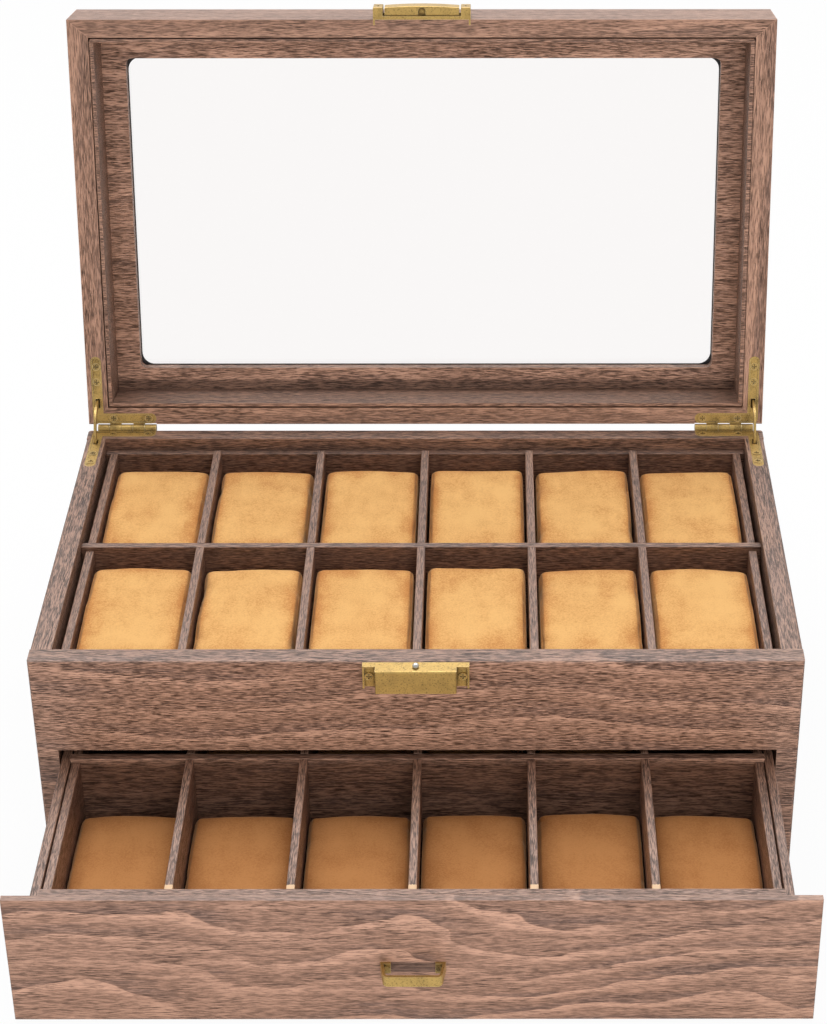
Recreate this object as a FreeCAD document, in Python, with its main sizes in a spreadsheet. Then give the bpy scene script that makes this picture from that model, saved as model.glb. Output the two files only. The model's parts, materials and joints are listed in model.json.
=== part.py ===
import FreeCAD, Part
import os
import re
import Sketcher
from FreeCAD import Placement, Rotation, Vector

# Watch box with a drawer: a tray of cushions under a window lid and a second set in a drawer.
# Millimetres. Origin at the bottom centre of the case, +X to the right, +Y to the back, +Z up.
# The lid stands open on its stays and the drawer stands out by one row of cushions.

doc = FreeCAD.newDocument("watch_box")

# Driving sizes

CUSHION_COLUMNS = 6
SIDES = (("left", -1), ("right", 1))
SIZES = [
    ("case_width", 335, "outside, left to right"),
    ("case_depth", 200, "outside, front to back"),
    ("case_height", 114, "floor to the rim that the lid closes on"),
    ("side_wall", 9.5, "left and right case walls"),
    ("front_wall", 9.5, "front case board"),
    ("back_wall", 8, "back case board"),
    ("base_panel", 6, "case bottom"),
    ("edge_round", 1.4, "rounding of the outer wood corners"),
    ("mouth_height", 66.7, "top of the drawer mouth"),
    ("tray_floor_gap", 0.3, "drawer mouth to the underside of the tray floor"),
    ("tray_floor_thick", 4, "tray floor"),
    ("strip", 3.8, "insert strips and tray dividers"),
    ("tray_strip_gap", 2.2, "case wall to side strip"),
    ("tray_strip_drop", 6.5, "rim to the top of the tray's side strips"),
    ("tray_divider_drop", 4.5, "rim to the top of the tray dividers"),
    ("tray_middle", 1, "centre of the tray's middle divider, from the case centre"),
    ("lid_depth", 33, "rim to top of the lid"),
    ("lid_side_rail", 9.8, "left and right lid rails"),
    ("lid_end_rail", 8.4, "front and back lid rails"),
    ("lid_board", 9.5, "board that frames the window"),
    ("window_side_border", 13.95, "board left beside the window, left and right"),
    ("window_end_border", 13.85, "board left beside the window, front and back"),
    ("window_corner", 3, "window corner radius"),
    ("rebate", 5, "glass rebate round the window"),
    ("rebate_deep", 4, "glass rebate depth"),
    ("glass_thick", 3, "window glass"),
    ("seal_thick", 0.5, "sealant bead under the glass"),
    ("liner", 1.8, "lid liner panels"),
    ("liner_gap", 0.6, "lid rail to liner"),
    ("lid_angle", 101.7, "opening angle on the stays"),
    ("hinge_offset", 2.25, "hinge axis behind the back of the case"),
    ("barrel_r", 2.1, "hinge knuckle radius"),
    ("pin_r", 0.8, "hinge pin radius"),
    ("pin_play", 0.05, "radial clearance of the hinge pin"),
    ("knuckle", 5.8, "length of one hinge knuckle"),
    ("knuckle_gap", 0.15, "gap between knuckles"),
    ("barrel_inset", 4.5, "case side to the outer end of the hinge barrel"),
    ("leaf_thick", 1.2, "hinge leaf"),
    ("leaf_sunk", 0.1, "leaf face below the rim"),
    ("leaf_border", 0.7, "raised border of a leaf"),
    ("leaf_dish", 0.3, "depth of a leaf's sunken middle"),
    ("arm_inset", 4.85, "case side to the centre of the side arm"),
    ("arm_wide", 5.2, "arm width"),
    ("arm_length", 34.8, "end of the side arm, from the back of the case"),
    ("back_arm_y", 2.9, "centre of the back arm, from the back of the case"),
    ("back_arm_reach", 33.5, "case side to the end of the back arm"),
    ("stay_radius", 12.8, "middle of the curved stay, from the hinge axis"),
    ("stay_wide", 3.6, "stay, across its curve"),
    ("stay_thick", 1, "stay metal"),
    ("stay_hold", 8, "degrees of stay left in each slot at full opening"),
    ("slot_play", 0.6, "room round a stay in its slots"),
    ("screw_head_r", 1.9, "wood screw head radius"),
    ("screw_shank_r", 0.9, "wood screw shank radius"),
    ("screw_long", 8, "wood screw length"),
    ("screw_head_high", 0.9, "wood screw head height"),
    ("hole_play", 0.1, "room round a screw or rivet"),
    ("latch_long", 46, "latch, left to right"),
    ("latch_high", 11.4, "latch, top to bottom"),
    ("latch_block", 35, "block between the ears"),
    ("latch_proud", 7.4, "block in front of the case"),
    ("ear_proud", 3.3, "ears in front of the case"),
    ("ear_dish", 1.6, "sunken middle of an ear"),
    ("ear_border", 0.8, "raised border of an ear"),
    ("rim_clear", 0.3, "latch top below the rim"),
    ("stud_r", 1.5, "latch stud head radius"),
    ("stud_high", 2.1, "stud above the block"),
    ("stud_flat", 10, "degrees below its middle where the stud head is cut flat"),
    ("stud_out", 3.7, "stud centre in front of the case"),
    ("keeper_plate", 1.6, "latch plate on the lid"),
    ("keeper_proud", 5.6, "latch ears in front of the lid"),
    ("keeper_ear", 4.6, "width of one latch ear on the lid"),
    ("button_gap", 0.8, "latch button to each ear"),
    ("button_step", 1.3, "button underside above the rim"),
    ("button_proud", 5.4, "button in front of the lid, at its ends"),
    ("button_crown", 0.7, "swell of the button's front"),
    ("button_travel", 1.4, "press of the button"),
    ("button_stop", 0.4, "button to the lid when pressed home"),
    ("arch_r", 1.75, "half width of the stud arch"),
    ("tab_thick", 0.9, "locating tabs of the lid's latch plate"),
    ("tab_long", 2.6, "tabs behind the lid's front face"),
    ("drawer_front_thick", 3.5, "drawer face board"),
    ("drawer_front_lift", 1, "drawer face board above the floor"),
    ("drawer_front_drop", 1, "drawer mouth to the top of the face board"),
    ("drawer_wall", 4, "drawer box boards"),
    ("drawer_back_gap", 7, "back of the drawer to the back board when shut"),
    ("drawer_play", 1.4, "drawer side to case wall"),
    ("drawer_lift", 0.3, "drawer above the case bottom"),
    ("drawer_side_drop", 3.7, "drawer mouth to the top of the drawer sides"),
    ("drawer_strip_gap", 0.6, "drawer side to side strip"),
    ("drawer_strip_drop", 0.5, "drawer sides to the top of the side strips"),
    ("drawer_divider_drop", 2.2, "drawer mouth to the top of the drawer dividers"),
    ("drawer_divider", 3.6, "drawer cross dividers"),
    ("drawer_middle", 2.5, "centre of the middle divider, from the drawer's centre"),
    ("drawer_out", 96.5, "how far the drawer stands out"),
    ("cushion_high", 34, "cushion at its crown"),
    ("cushion_crown", 1.6, "rise of the crown from the ends to the middle"),
    ("cushion_bow", 0.45, "cushion sides out of straight"),
    ("cushion_corner", 4.5, "cushion corners seen from above"),
    ("cushion_roll", 4, "cushion rim"),
    ("cushion_side_gap", 0.45, "drawer divider to cushion"),
    ("cushion_front_gap", 3.3, "front board to cushion"),
    ("cushion_row_gap", 2.6, "middle divider to the rear cushions"),
    ("cushion_back_gap", 7.4, "rear cushions to the back of the drawer"),
    ("grip_long", 27.2, "drawer pull, foot to foot"),
    ("grip_bar", 24.2, "drawer pull, along its bar"),
    ("grip_out", 9.4, "drawer pull in front of the face board"),
    ("grip_wide", 5.2, "height of the pull's strip"),
    ("grip_thick", 1.2, "pull strip"),
    ("grip_foot", 4.4, "turned-in foot of the pull"),
    ("grip_centre", 30.5, "middle of the pull above the floor"),
    ("rivet_r", 0.9, "pull rivet radius"),
    ("rivet_head", 1.4, "pull rivet head radius"),
]

# Sizes that follow from these: the slots share what is left between their strips, and the cushions fit them

FITTED = [
    ("tray_pitch", "(case_width - 2 * side_wall - 2 * tray_strip_gap - strip) / %d" % CUSHION_COLUMNS,
     "tray divider spacing"),
    ("drawer_length", "case_depth - back_wall - drawer_back_gap", "drawer sides"),
    ("drawer_inside", "case_width - 2 * side_wall - 2 * drawer_play - 2 * drawer_wall",
     "between the drawer sides"),
    ("drawer_pitch",
     "(drawer_inside - 2 * drawer_strip_gap - 2 * strip + drawer_divider) / %d" % CUSHION_COLUMNS,
     "drawer divider spacing"),
    ("cushion_wide", "drawer_pitch - drawer_divider - 2 * cushion_side_gap", "cushion, left to right"),
    ("cushion_long",
     "drawer_length / 2 - drawer_middle - 1.5 * drawer_wall - cushion_row_gap - cushion_back_gap",
     "cushion, front to back"),
]

sheet = doc.addObject("Spreadsheet::Sheet", "Sizes")
for row, (alias, value, meaning) in enumerate(SIZES + FITTED, start=1):
    sheet.set("A%d" % row, meaning)
    sheet.set("B%d" % row, "=%s" % value)
    sheet.setAlias("B%d" % row, alias)
doc.recompute()

size = {alias: float(sheet.get(alias)) for alias, value, meaning in SIZES + FITTED}
nodes = []


def rule(text):
    """An expression over the sheet's aliases; round brackets, numbers and + - * / stay as they are."""
    return re.sub(r"[a-z]+(_[a-z]+)*", lambda word: "Sizes." + word.group(0), text)


def bind(item, **rules):
    """Bind properties of an object to rules, such as Length="case_width - 2 * side_wall"."""
    for prop, text in rules.items():
        item.setExpression(prop, rule(str(text)))


def put(item, x=0, y=0, z=0):
    """Bind the position of an object."""
    for axis, text in zip("xyz", (x, y, z)):
        item.setExpression("Placement.Base." + axis, rule(str(text)))


def box(name, length, width, height, x=0, y=0, z=0):
    """A block whose low corner lies at x, y, z."""
    item = doc.addObject("Part::Box", name)
    bind(item, Length=length, Width=width, Height=height)
    put(item, x, y, z)
    return item


def centred(name, length, width, height, x=0, y=0, z=0):
    """A block centred on x, whose low Y and Z faces lie at y and z."""
    return box(name, length, width, height, "%s - (%s) / 2" % (x, length), y, z)


def rod(name, radius, length, x=0, y=0, z=0, along="Z"):
    """A cylinder from x, y, z along an axis; -Y runs to the front."""
    turns = {
        "X": Rotation(Vector(0, 1, 0), 90),
        "-Y": Rotation(Vector(1, 0, 0), 90),
        "-Z": Rotation(Vector(1, 0, 0), 180),
        "Z": Rotation(),
    }
    item = doc.addObject("Part::Cylinder", name)
    item.Placement = Placement(Vector(), turns[along])
    bind(item, Radius=radius, Height=length)
    put(item, x, y, z)
    return item


def join(name, pieces):
    """One solid from pieces that touch or overlap."""
    item = doc.addObject("Part::MultiFuse", name)
    item.Shapes = pieces
    item.Refine = True
    return item


def group(name, pieces):
    """Several separate solids kept as one object."""
    item = doc.addObject("Part::Compound", name)
    item.Links = pieces
    return item


def cut(name, base, tools):
    """A piece with tools taken away."""
    tool = tools[0] if len(tools) == 1 else join(name + "_tools", tools)
    item = doc.addObject("Part::Cut", name)
    item.Base = base
    item.Tool = tool
    return item


def rounded(name, base, picks, radius):
    """Round the edges of a piece that the test picks."""
    doc.recompute()
    item = doc.addObject("Part::Fillet", name)
    item.Base = base
    numbers = [n for n, edge in enumerate(base.Shape.Edges, start=1) if picks(edge)]
    item.Edges = [(n, radius, radius) for n in numbers]
    return item


def runs(edge, axis):
    """Whether a straight edge runs along an axis."""
    ends = [vertex.Point for vertex in edge.Vertexes]
    return len(ends) == 2 and abs(abs((ends[1] - ends[0]).normalize().dot(axis)) - 1) < 1e-6


def node(item, label):
    """Make an object a sub-part of its own under its label."""
    item.Label = label
    nodes.append(item)
    return item


# Places that several pieces share

INSIDE = "(case_width - 2 * side_wall)"
FRONT_Y = "(0 - case_depth / 2)"
BACK_Y = "(case_depth / 2)"
INNER_FRONT = "(%s + front_wall)" % FRONT_Y
INNER_BACK = "(%s - back_wall)" % BACK_Y
TRAY_BASE = "(mouth_height + tray_floor_gap + tray_floor_thick)"
TRAY_STRIP_TOP = "(case_height - tray_strip_drop)"
TRAY_DIVIDER_TOP = "(case_height - tray_divider_drop)"
ARM_X = "(case_width / 2 - arm_inset)"
BARREL_OUTER = "(case_width / 2 - barrel_inset)"
BACK_ARM_END = "(case_width / 2 - back_arm_reach)"
LID_BACK = "(0 - hinge_offset)"
LID_FRONT = "(0 - hinge_offset - case_depth)"
STAY_IN = "(stay_radius - stay_wide / 2)"
STAY_OUT = "(stay_radius + stay_wide / 2)"
OPEN_TILT = Rotation(Vector(1, 0, 0), -size["lid_angle"])
X_AXIS = Vector(1, 0, 0)
Z_AXIS = Vector(0, 0, 1)


# Hinge leaves, in a frame whose origin is the hinge axis: -Y along a leaf, Z off its rim
# The left and right hinges mirror each other; a lid leaf lies above the rim, a case leaf below

def leaf_y(distance):
    """Y of a point so far in front of the back of the case or lid."""
    return "(0 - hinge_offset - (%s))" % distance


def screw_places():
    """Centres of a leaf's screws: (distance from the case centre, distance from the back)."""
    return [
        (ARM_X, "arm_length - arm_wide"),
        (ARM_X, "arm_length - 2.5 * arm_wide"),
        ("(%s + 0.72 * arm_wide)" % BACK_ARM_END, "back_arm_y"),
        ("(%s - 1.42 * arm_wide)" % ARM_X, "back_arm_y"),
    ]


def arms(name, hand, inset, low, thick):
    """The L of a leaf: a side arm and a back arm with round ends, drawn in by inset all round."""
    half = "(arm_wide / 2 - (%s))" % inset
    side_x = "%d * %s" % (hand, ARM_X)
    end_x = "%d * (%s + arm_wide / 2)" % (hand, BACK_ARM_END)
    end_y = leaf_y("arm_length - arm_wide / 2")
    long_arm = "(arm_length - arm_wide / 2 - back_arm_y)"
    pieces = [
        centred(name + "_side", "2 * " + half, long_arm, thick, side_x, end_y, low),
        rod(name + "_side_end", half, thick, side_x, end_y, low),
        rod(name + "_corner", half, thick, side_x, leaf_y("back_arm_y"), low),
        rod(name + "_back_end", half, thick, end_x, leaf_y("back_arm_y"), low),
        centred(
            name + "_back",
            "%s - %s - arm_wide / 2" % (ARM_X, BACK_ARM_END),
            "2 * " + half,
            thick,
            "%d * (%s + %s + arm_wide / 2) / 2" % (hand, ARM_X, BACK_ARM_END),
            leaf_y("back_arm_y + %s" % half),
            low,
        ),
    ]
    return join(name, pieces)


def stay_slot(name, hand, low, thick):
    """The straight-sided slot through a leaf where the stay passes."""
    return centred(
        name,
        "stay_thick + 2 * slot_play",
        "stay_wide + 2 * slot_play",
        thick,
        "%d * %s" % (hand, ARM_X),
        "0 - %s - slot_play" % STAY_OUT,
        low,
    )


def hinge_leaf(label, hand, up, own_knuckles):
    """One leaf: an L plate with a raised border, countersunk holes, a stay slot and its knuckles."""
    low = "leaf_sunk" if up > 0 else "0 - leaf_sunk - leaf_thick"
    face = "leaf_sunk" if up > 0 else "0 - leaf_sunk"
    dish_low = "%s - leaf_dish" % face if up < 0 else face
    plate = arms(label + "_plate", hand, "0", low, "leaf_thick")
    outer_end = ("(%s - 6 * knuckle)" if hand > 0 else "(0 - %s - knuckle)") % BARREL_OUTER
    bores = [rod(label + "_bore", "pin_r + pin_play", "7 * knuckle", outer_end, 0, 0, "X")]
    solids = [plate]
    for k in own_knuckles:
        low_end = k + 1 if hand > 0 else k
        place = "%d * (%s - %d * knuckle) + knuckle_gap / 2" % (hand, BARREL_OUTER, low_end)
        name = "%s_knuckle_%d" % (label, k)
        solids.append(rod(name, "barrel_r", "knuckle - knuckle_gap", place, 0, 0, "X"))
        solids.append(
            box(
                "%s_neck_%d" % (label, k),
                "knuckle - knuckle_gap",
                "hinge_offset + back_arm_y - pin_r - 2 * pin_play",
                "leaf_thick",
                place,
                leaf_y("back_arm_y"),
                low,
            )
        )
    tools = [stay_slot(label + "_stay_slot", hand, "%s - leaf_thick" % low, "3 * leaf_thick")]
    tools += bores
    dish = arms(label + "_dish", hand, "leaf_border", dish_low, "leaf_dish")
    rims = []
    rim_r = "screw_head_r + hole_play"
    for n, (x, distance) in enumerate(screw_places()):
        x = "%d * %s" % (hand, x)
        tools.append(rod("%s_hole_%d" % (label, n), "screw_shank_r + hole_play", "3 * leaf_thick",
                         x, leaf_y(distance), "%s - leaf_thick" % low))
        seat = doc.addObject("Part::Cone", "%s_seat_%d" % (label, n))
        if up > 0:
            bind(seat, Radius1=rim_r, Radius2="screw_shank_r + hole_play", Height="screw_head_high")
            put(seat, x, leaf_y(distance), face)
        else:
            bind(seat, Radius1="screw_shank_r + hole_play", Radius2=rim_r, Height="screw_head_high")
            put(seat, x, leaf_y(distance), "%s - screw_head_high" % face)
        tools.append(seat)
        rims.append(rod("%s_rim_%d" % (label, n), "screw_head_r + hole_play", "leaf_dish", x,
                        leaf_y(distance), dish_low))
    tools.append(dish)
    return cut(label + "_solid", join(label + "_blank", solids), tools)


def wood_screw(name, x, y, face, along):
    """A countersunk cross-slot screw, head flush with a face; along is Z or -Z, the way it goes in."""
    down = along == "-Z"
    head = doc.addObject("Part::Cone", name + "_head")
    if down:
        bind(head, Radius1="screw_shank_r", Radius2="screw_head_r", Height="screw_head_high")
        put(head, x, y, "%s - screw_head_high" % face)
        shank_z = "%s - screw_long" % face
        slot_z = "%s - screw_head_high / 2" % face
    else:
        bind(head, Radius1="screw_head_r", Radius2="screw_shank_r", Height="screw_head_high")
        put(head, x, y, face)
        shank_z = "%s + screw_head_high / 2" % face
        slot_z = face
    shank = rod(name + "_shank", "screw_shank_r", "screw_long - screw_head_high / 2", x, y, shank_z)
    long_slot = "1.3 * screw_head_r"
    wide_slot = "0.32 * screw_head_r"
    cross = [
        centred(name + "_cross_x", long_slot, wide_slot, "screw_head_high / 2", x,
                "%s - %s / 2" % (y, wide_slot), slot_z),
        centred(name + "_cross_y", wide_slot, long_slot, "screw_head_high / 2", x,
                "%s - %s / 2" % (y, long_slot), slot_z),
    ]
    return cut(name, join(name + "_blank", [head, shank]), cross)


def leaf_screws(prefix, up):
    """The eight screws of two leaves."""
    face = "leaf_sunk + 0.05" if up > 0 else "0 - leaf_sunk - 0.05"
    screws = []
    for side, hand in SIDES:
        for n, (x, distance) in enumerate(screw_places()):
            screws.append(wood_screw("%s_%s_%d" % (prefix, side, n), "%d * %s" % (hand, x), leaf_y(distance),
                                     face, "Z" if up > 0 else "-Z"))
    return screws


def screw_bores(prefix, up):
    """The holes in the wood for the screws of two leaves."""
    bores = []
    for side, hand in SIDES:
        for n, (x, distance) in enumerate(screw_places()):
            low = "0" if up > 0 else "0 - screw_long - 2 * hole_play"
            bores.append(rod("%s_bore_%s_%d" % (prefix, side, n), "screw_shank_r + hole_play",
                             "screw_long + 2 * hole_play", "%d * %s" % (hand, x), leaf_y(distance), low))
    return bores


def ring_sector(name, hand, inner, outer, thick, degrees, up):
    """Part of a flat ring about the hinge axis, from the rim plane towards the front, up or down."""
    turn = Rotation(Vector(0, -1, 0), Vector(0, 0, up), Vector(-up, 0, 0), "XYZ")
    discs = []
    for part, radius in (("outer", outer), ("inner", inner)):
        disc = doc.addObject("Part::Cylinder", "%s_%s" % (name, part))
        disc.Placement = Placement(Vector(), turn)
        bind(disc, Radius=radius, Height=thick)
        if part == "outer":
            bind(disc, Angle=degrees)
        put(disc, "%d * %s + %d * (%s) / 2" % (hand, ARM_X, up, thick), 0, 0)
        discs.append(disc)
    return cut(name, discs[0], [discs[1]])


def leaf_pockets(prefix, up):
    """What the wood loses at both hinges: leaf beds, knuckle notches, stay ways and screw holes."""
    low = "0" if up > 0 else "0 - leaf_sunk - leaf_thick"
    deep = "leaf_sunk + leaf_thick"
    tools = screw_bores(prefix, up)
    for side, hand in SIDES:
        tools.append(arms("%s_bed_%s" % (prefix, side), hand, "0 - hole_play", low, deep))
        tools.append(
            centred(
                "%s_notch_%s" % (prefix, side),
                "5 * knuckle + 2 * hole_play",
                "back_arm_y + barrel_r",
                deep,
                "%d * (%s - 2.5 * knuckle)" % (hand, BARREL_OUTER),
                leaf_y("back_arm_y"),
                low,
            )
        )
        tools.append(
            ring_sector(
                "%s_stay_way_%s" % (prefix, side),
                hand,
                STAY_IN + " - slot_play",
                STAY_OUT + " + slot_play",
                "stay_thick + 2 * slot_play",
                "lid_angle / 2 + 1.4 * stay_hold",
                up,
            )
        )
    return tools


def at_hinge(item, tilt=Rotation()):
    """Carry a piece from the hinge frame to the back of the rim, turned about the axis."""
    item.Placement = Placement(Vector(), tilt)
    put(item, 0, "case_depth / 2 + hinge_offset", "case_height")
    return item


def lid_node(item, label):
    """A sub-part of the lid, drawn closed about the hinge axis and then turned open."""
    return node(at_hinge(item, OPEN_TILT), label)


# Case

def case_hinge_pockets(name):
    """The case's share of the hinge pockets, carried to the rim."""
    return at_hinge(join(name, leaf_pockets(name, -1)))


def latch_bores(name):
    """Screw holes of the case's latch plate in the front board."""
    return [
        rod("%s_%s" % (name, side), "screw_shank_r + hole_play", "front_wall - 1.5",
            "%d * (latch_block + latch_long) / 4" % hand, "%s + front_wall - 1.5" % FRONT_Y,
            "case_height - rim_clear - latch_high / 2", "-Y")
        for side, hand in SIDES
    ]


def case_front():
    """One flat board across the front, with the drawer mouth cut from its lower part."""
    board = centred("front_board", "case_width", "front_wall", "case_height", 0, FRONT_Y)
    soft = rounded("front_soft", board, front_edges, size["edge_round"])
    mouth = centred("front_mouth", INSIDE, "3 * front_wall", "2 * mouth_height", 0,
                    "%s - front_wall" % FRONT_Y, "0 - mouth_height")
    return cut("front_cut", soft, [mouth] + latch_bores("front_latch_bore"))


def front_edges(edge):
    """Outer upright corners and the outer rim edge of the front board."""
    middle = edge.CenterOfMass
    at_front = abs(middle.y + size["case_depth"] / 2) < 1e-6
    at_top = abs(middle.z - size["case_height"]) < 1e-6
    return at_front and (runs(edge, Z_AXIS) or at_top)


def case_side(side, hand):
    """A plain wall between the front and back boards, with the hinge let into its rim."""
    board = centred(
        "wall_" + side,
        "side_wall",
        "case_depth - front_wall - back_wall",
        "case_height",
        "%d * (case_width - side_wall) / 2" % hand,
        INNER_FRONT,
    )

    def outer_rim(edge):
        middle = edge.CenterOfMass
        outside = abs(abs(middle.x) - size["case_width"] / 2) < 1e-6
        return outside and abs(middle.z - size["case_height"]) < 1e-6

    soft = rounded("wall_soft_" + side, board, outer_rim, size["edge_round"])
    return cut("wall_cut_" + side, soft, [case_hinge_pockets("wall_pocket_" + side)])


def case_back():
    """The back board, full width, with both hinges let into its rim."""
    board = centred("back_board", "case_width", "back_wall", "case_height", 0, INNER_BACK)

    def upright(edge):
        return runs(edge, Z_AXIS) and abs(edge.CenterOfMass.y - size["case_depth"] / 2) < 1e-6

    soft = rounded("back_soft", board, upright, size["edge_round"])
    return cut("back_cut", soft, [case_hinge_pockets("back_pocket")])


node(case_front(), "case_front")
for side, hand in SIDES:
    node(case_side(side, hand), "case_%s_side" % side)
node(case_back(), "case_back")
node(
    centred("bottom_board", INSIDE, "case_depth - back_wall", "base_panel", 0, FRONT_Y),
    "case_bottom",
)
node(
    centred("floor_board", INSIDE, "case_depth - front_wall - back_wall", "tray_floor_thick", 0, INNER_FRONT,
            "mouth_height + tray_floor_gap"),
    "tray_floor",
)


# Tray insert

TRAY_SPAN = "(%s - 2 * tray_strip_gap)" % INSIDE
TRAY_FRONT = "(%s + strip)" % INNER_FRONT
TRAY_BACK = "(%s - strip)" % INNER_BACK


def strip_stand(name, length, width, top, x, y, base):
    """An upright strip that stands on a floor."""
    return centred(name, length, width, "%s - %s" % (top, base), x, y, base)


def tray_side_strips():
    """Two strips along each wall, one for each row."""
    strips = []
    for side, hand in SIDES:
        x = "%d * (%s - strip) / 2" % (hand, TRAY_SPAN)
        strips.append(
            strip_stand("tray_strip_front_" + side, "strip",
                        "tray_middle - strip / 2 - %s" % TRAY_FRONT, TRAY_STRIP_TOP, x, TRAY_FRONT, TRAY_BASE)
        )
        strips.append(
            strip_stand("tray_strip_rear_" + side, "strip",
                        "%s - tray_middle - strip / 2" % TRAY_BACK, TRAY_STRIP_TOP, x,
                        "tray_middle + strip / 2", TRAY_BASE)
        )
    return group("tray_strips", strips)


def tray_end_strips():
    """A strip against the front board and one against the back board."""
    return group(
        "tray_ends",
        [
            strip_stand("tray_end_front", INSIDE, "strip", TRAY_STRIP_TOP, 0, INNER_FRONT, TRAY_BASE),
            strip_stand("tray_end_rear", INSIDE, "strip", TRAY_STRIP_TOP, 0, TRAY_BACK, TRAY_BASE),
        ],
    )


def dividers(prefix, count, pitch, thick, top, base, rows):
    """Evenly spaced cross dividers; rows holds the low and high Y of each row."""
    plates = []
    for r, (low, high) in enumerate(rows):
        for n in range(count):
            offset = n - (count - 1) / 2
            plates.append(
                strip_stand("%s_%d_%d" % (prefix, r, n), thick, "%s - %s" % (high, low), top,
                            "%g * %s" % (offset, pitch), low, base)
            )
    return group(prefix, plates)


node(tray_side_strips(), "tray_side_strips")
node(tray_end_strips(), "tray_end_strips")
node(
    strip_stand("tray_middle_board", INSIDE, "strip", TRAY_DIVIDER_TOP, 0, "tray_middle - strip / 2",
                TRAY_BASE),
    "tray_mid_divider",
)
node(
    dividers(
        "tray_cross",
        CUSHION_COLUMNS - 1,
        "tray_pitch",
        "strip",
        TRAY_DIVIDER_TOP,
        TRAY_BASE,
        [(TRAY_FRONT, "(tray_middle - strip / 2)"), ("(tray_middle + strip / 2)", TRAY_BACK)],
    ),
    "tray_dividers",
)


# Hinges and stays

def hinge_pin(side, hand):
    """A plain pin as long as its barrel."""
    start = ("%s - 5 * knuckle" if hand > 0 else "0 - %s") % BARREL_OUTER
    return rod("pin_" + side, "pin_r", "5 * knuckle", start, 0, 0, "X")


def stay(side, hand):
    """A curved strip about the hinge axis, long enough to stay in both slots when the lid is open."""
    return ring_sector("stay_" + side, hand, STAY_IN, STAY_OUT, "stay_thick", "lid_angle + 2 * stay_hold", 1)


for side, hand in SIDES:
    node(at_hinge(hinge_leaf("case_leaf_" + side, hand, -1, (0, 2, 4))), "hinge_case_leaf_" + side)
    lid_node(hinge_leaf("lid_leaf_" + side, hand, 1, (1, 3)), "hinge_lid_leaf_" + side)
node(at_hinge(group("pins", [hinge_pin(side, hand) for side, hand in SIDES])), "hinge_pins")
node(
    at_hinge(group("stays", [stay(side, hand) for side, hand in SIDES]),
             Rotation(X_AXIS, size["stay_hold"])),
    "lid_stays",
)


# Latch on the case

LATCH_TOP = "(case_height - rim_clear)"
LATCH_LOW = "(case_height - rim_clear - latch_high)"
EAR_WIDE = "((latch_long - latch_block) / 2)"


def latch_plate():
    """A block between two ears; each ear is sunk inside a raised border that is open below."""
    ears = centred("latch_ears", "latch_long", "ear_proud", "latch_high",
                   0, "%s - ear_proud" % FRONT_Y, LATCH_LOW)
    block = centred("latch_block", "latch_block", "latch_proud", "latch_high", 0,
                    "%s - latch_proud" % FRONT_Y, LATCH_LOW)
    doc.recompute()

    def front_top(edge):
        middle = edge.CenterOfMass
        low_face = abs(middle.y + size["case_depth"] / 2 + size["latch_proud"]) < 1e-6
        return low_face and not abs(middle.z - block.Shape.BoundBox.ZMin) < 1e-6

    soft = rounded("latch_block_soft", block, front_top, size["ear_border"])
    dishes = []
    holes = [rod("latch_stud_hole", "stud_r / 2", "2 * stud_high", 0, "%s - stud_out" % FRONT_Y,
                 "%s - 2 * stud_high" % LATCH_TOP)]
    for side, hand in SIDES:
        x = "%d * (latch_block / 2 + (%s - ear_border) / 2)" % (hand, EAR_WIDE)
        dishes.append(
            centred("latch_dish_" + side,
                    "%s - ear_border" % EAR_WIDE, "ear_dish + 1", "latch_high - ear_border",
                    x, "%s - ear_proud - 1" % FRONT_Y, "%s - 0.01" % LATCH_LOW)
        )
        holes.append(rod("latch_hole_" + side, "screw_shank_r + hole_play", "2 * ear_proud",
                         "%d * (latch_block + latch_long) / 4" % hand, "%s + ear_proud / 2" % FRONT_Y,
                         "(%s - latch_high / 2)" % LATCH_TOP, "-Y"))
    return cut("latch_solid", join("latch_blank", [cut("latch_ears_dished", ears, dishes), soft]), holes)


def latch_stud():
    """A steel stud with a round head on a thinner neck, pressed into the block."""
    neck = rod("stud_neck", "stud_r / 2", "2 * stud_high + stud_high / 2", 0, "%s - stud_out" % FRONT_Y,
               "%s - 2 * stud_high" % LATCH_TOP)
    head = doc.addObject("Part::Sphere", "stud_head")
    bind(head, Radius="stud_r", Angle1="0 - stud_flat")
    put(head, 0, "%s - stud_out" % FRONT_Y, "%s + stud_high - stud_r" % LATCH_TOP)
    return join("stud", [neck, head])


def face_screw(name, x, y, z, long):
    """A flat-headed cross-slot screw driven along Y from a front face at y."""
    head = rod(name + "_head", "screw_head_r", "screw_head_high", x, y, z, "-Y")
    shank = rod(name + "_shank", "screw_shank_r", long, x, "%s + %s" % (y, long), z, "-Y")
    arm = "1.3 * screw_head_r"
    bar = "0.32 * screw_head_r"
    deep = "screw_head_high / 2"
    top = "%s - screw_head_high" % y
    cross = [
        centred(name + "_cross_x", arm, deep, bar, x, top, "%s - %s / 2" % (z, bar)),
        centred(name + "_cross_z", bar, deep, arm, x, top, "%s - %s / 2" % (z, arm)),
    ]
    return cut(name, join(name + "_blank", [head, shank]), cross)


def case_screws():
    """The case's hinge screws and the two screws of its latch plate."""
    hinge = at_hinge(group("case_hinge_screws", leaf_screws("case_screw", -1)))
    latch = [
        face_screw("latch_screw_" + side, "%d * (latch_block + latch_long) / 4" % hand,
                   "%s - ear_proud + ear_dish" % FRONT_Y, "(%s - latch_high / 2)" % LATCH_TOP,
                   "screw_long")
        for side, hand in SIDES
    ]
    return group("case_screw_set", [hinge] + latch)


node(latch_plate(), "latch_base")
node(latch_stud(), "latch_stud")
node(case_screws(), "case_screws")


# Lid, drawn closed: Z 0 at the rim, Y 0 at the hinge axis

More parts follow.
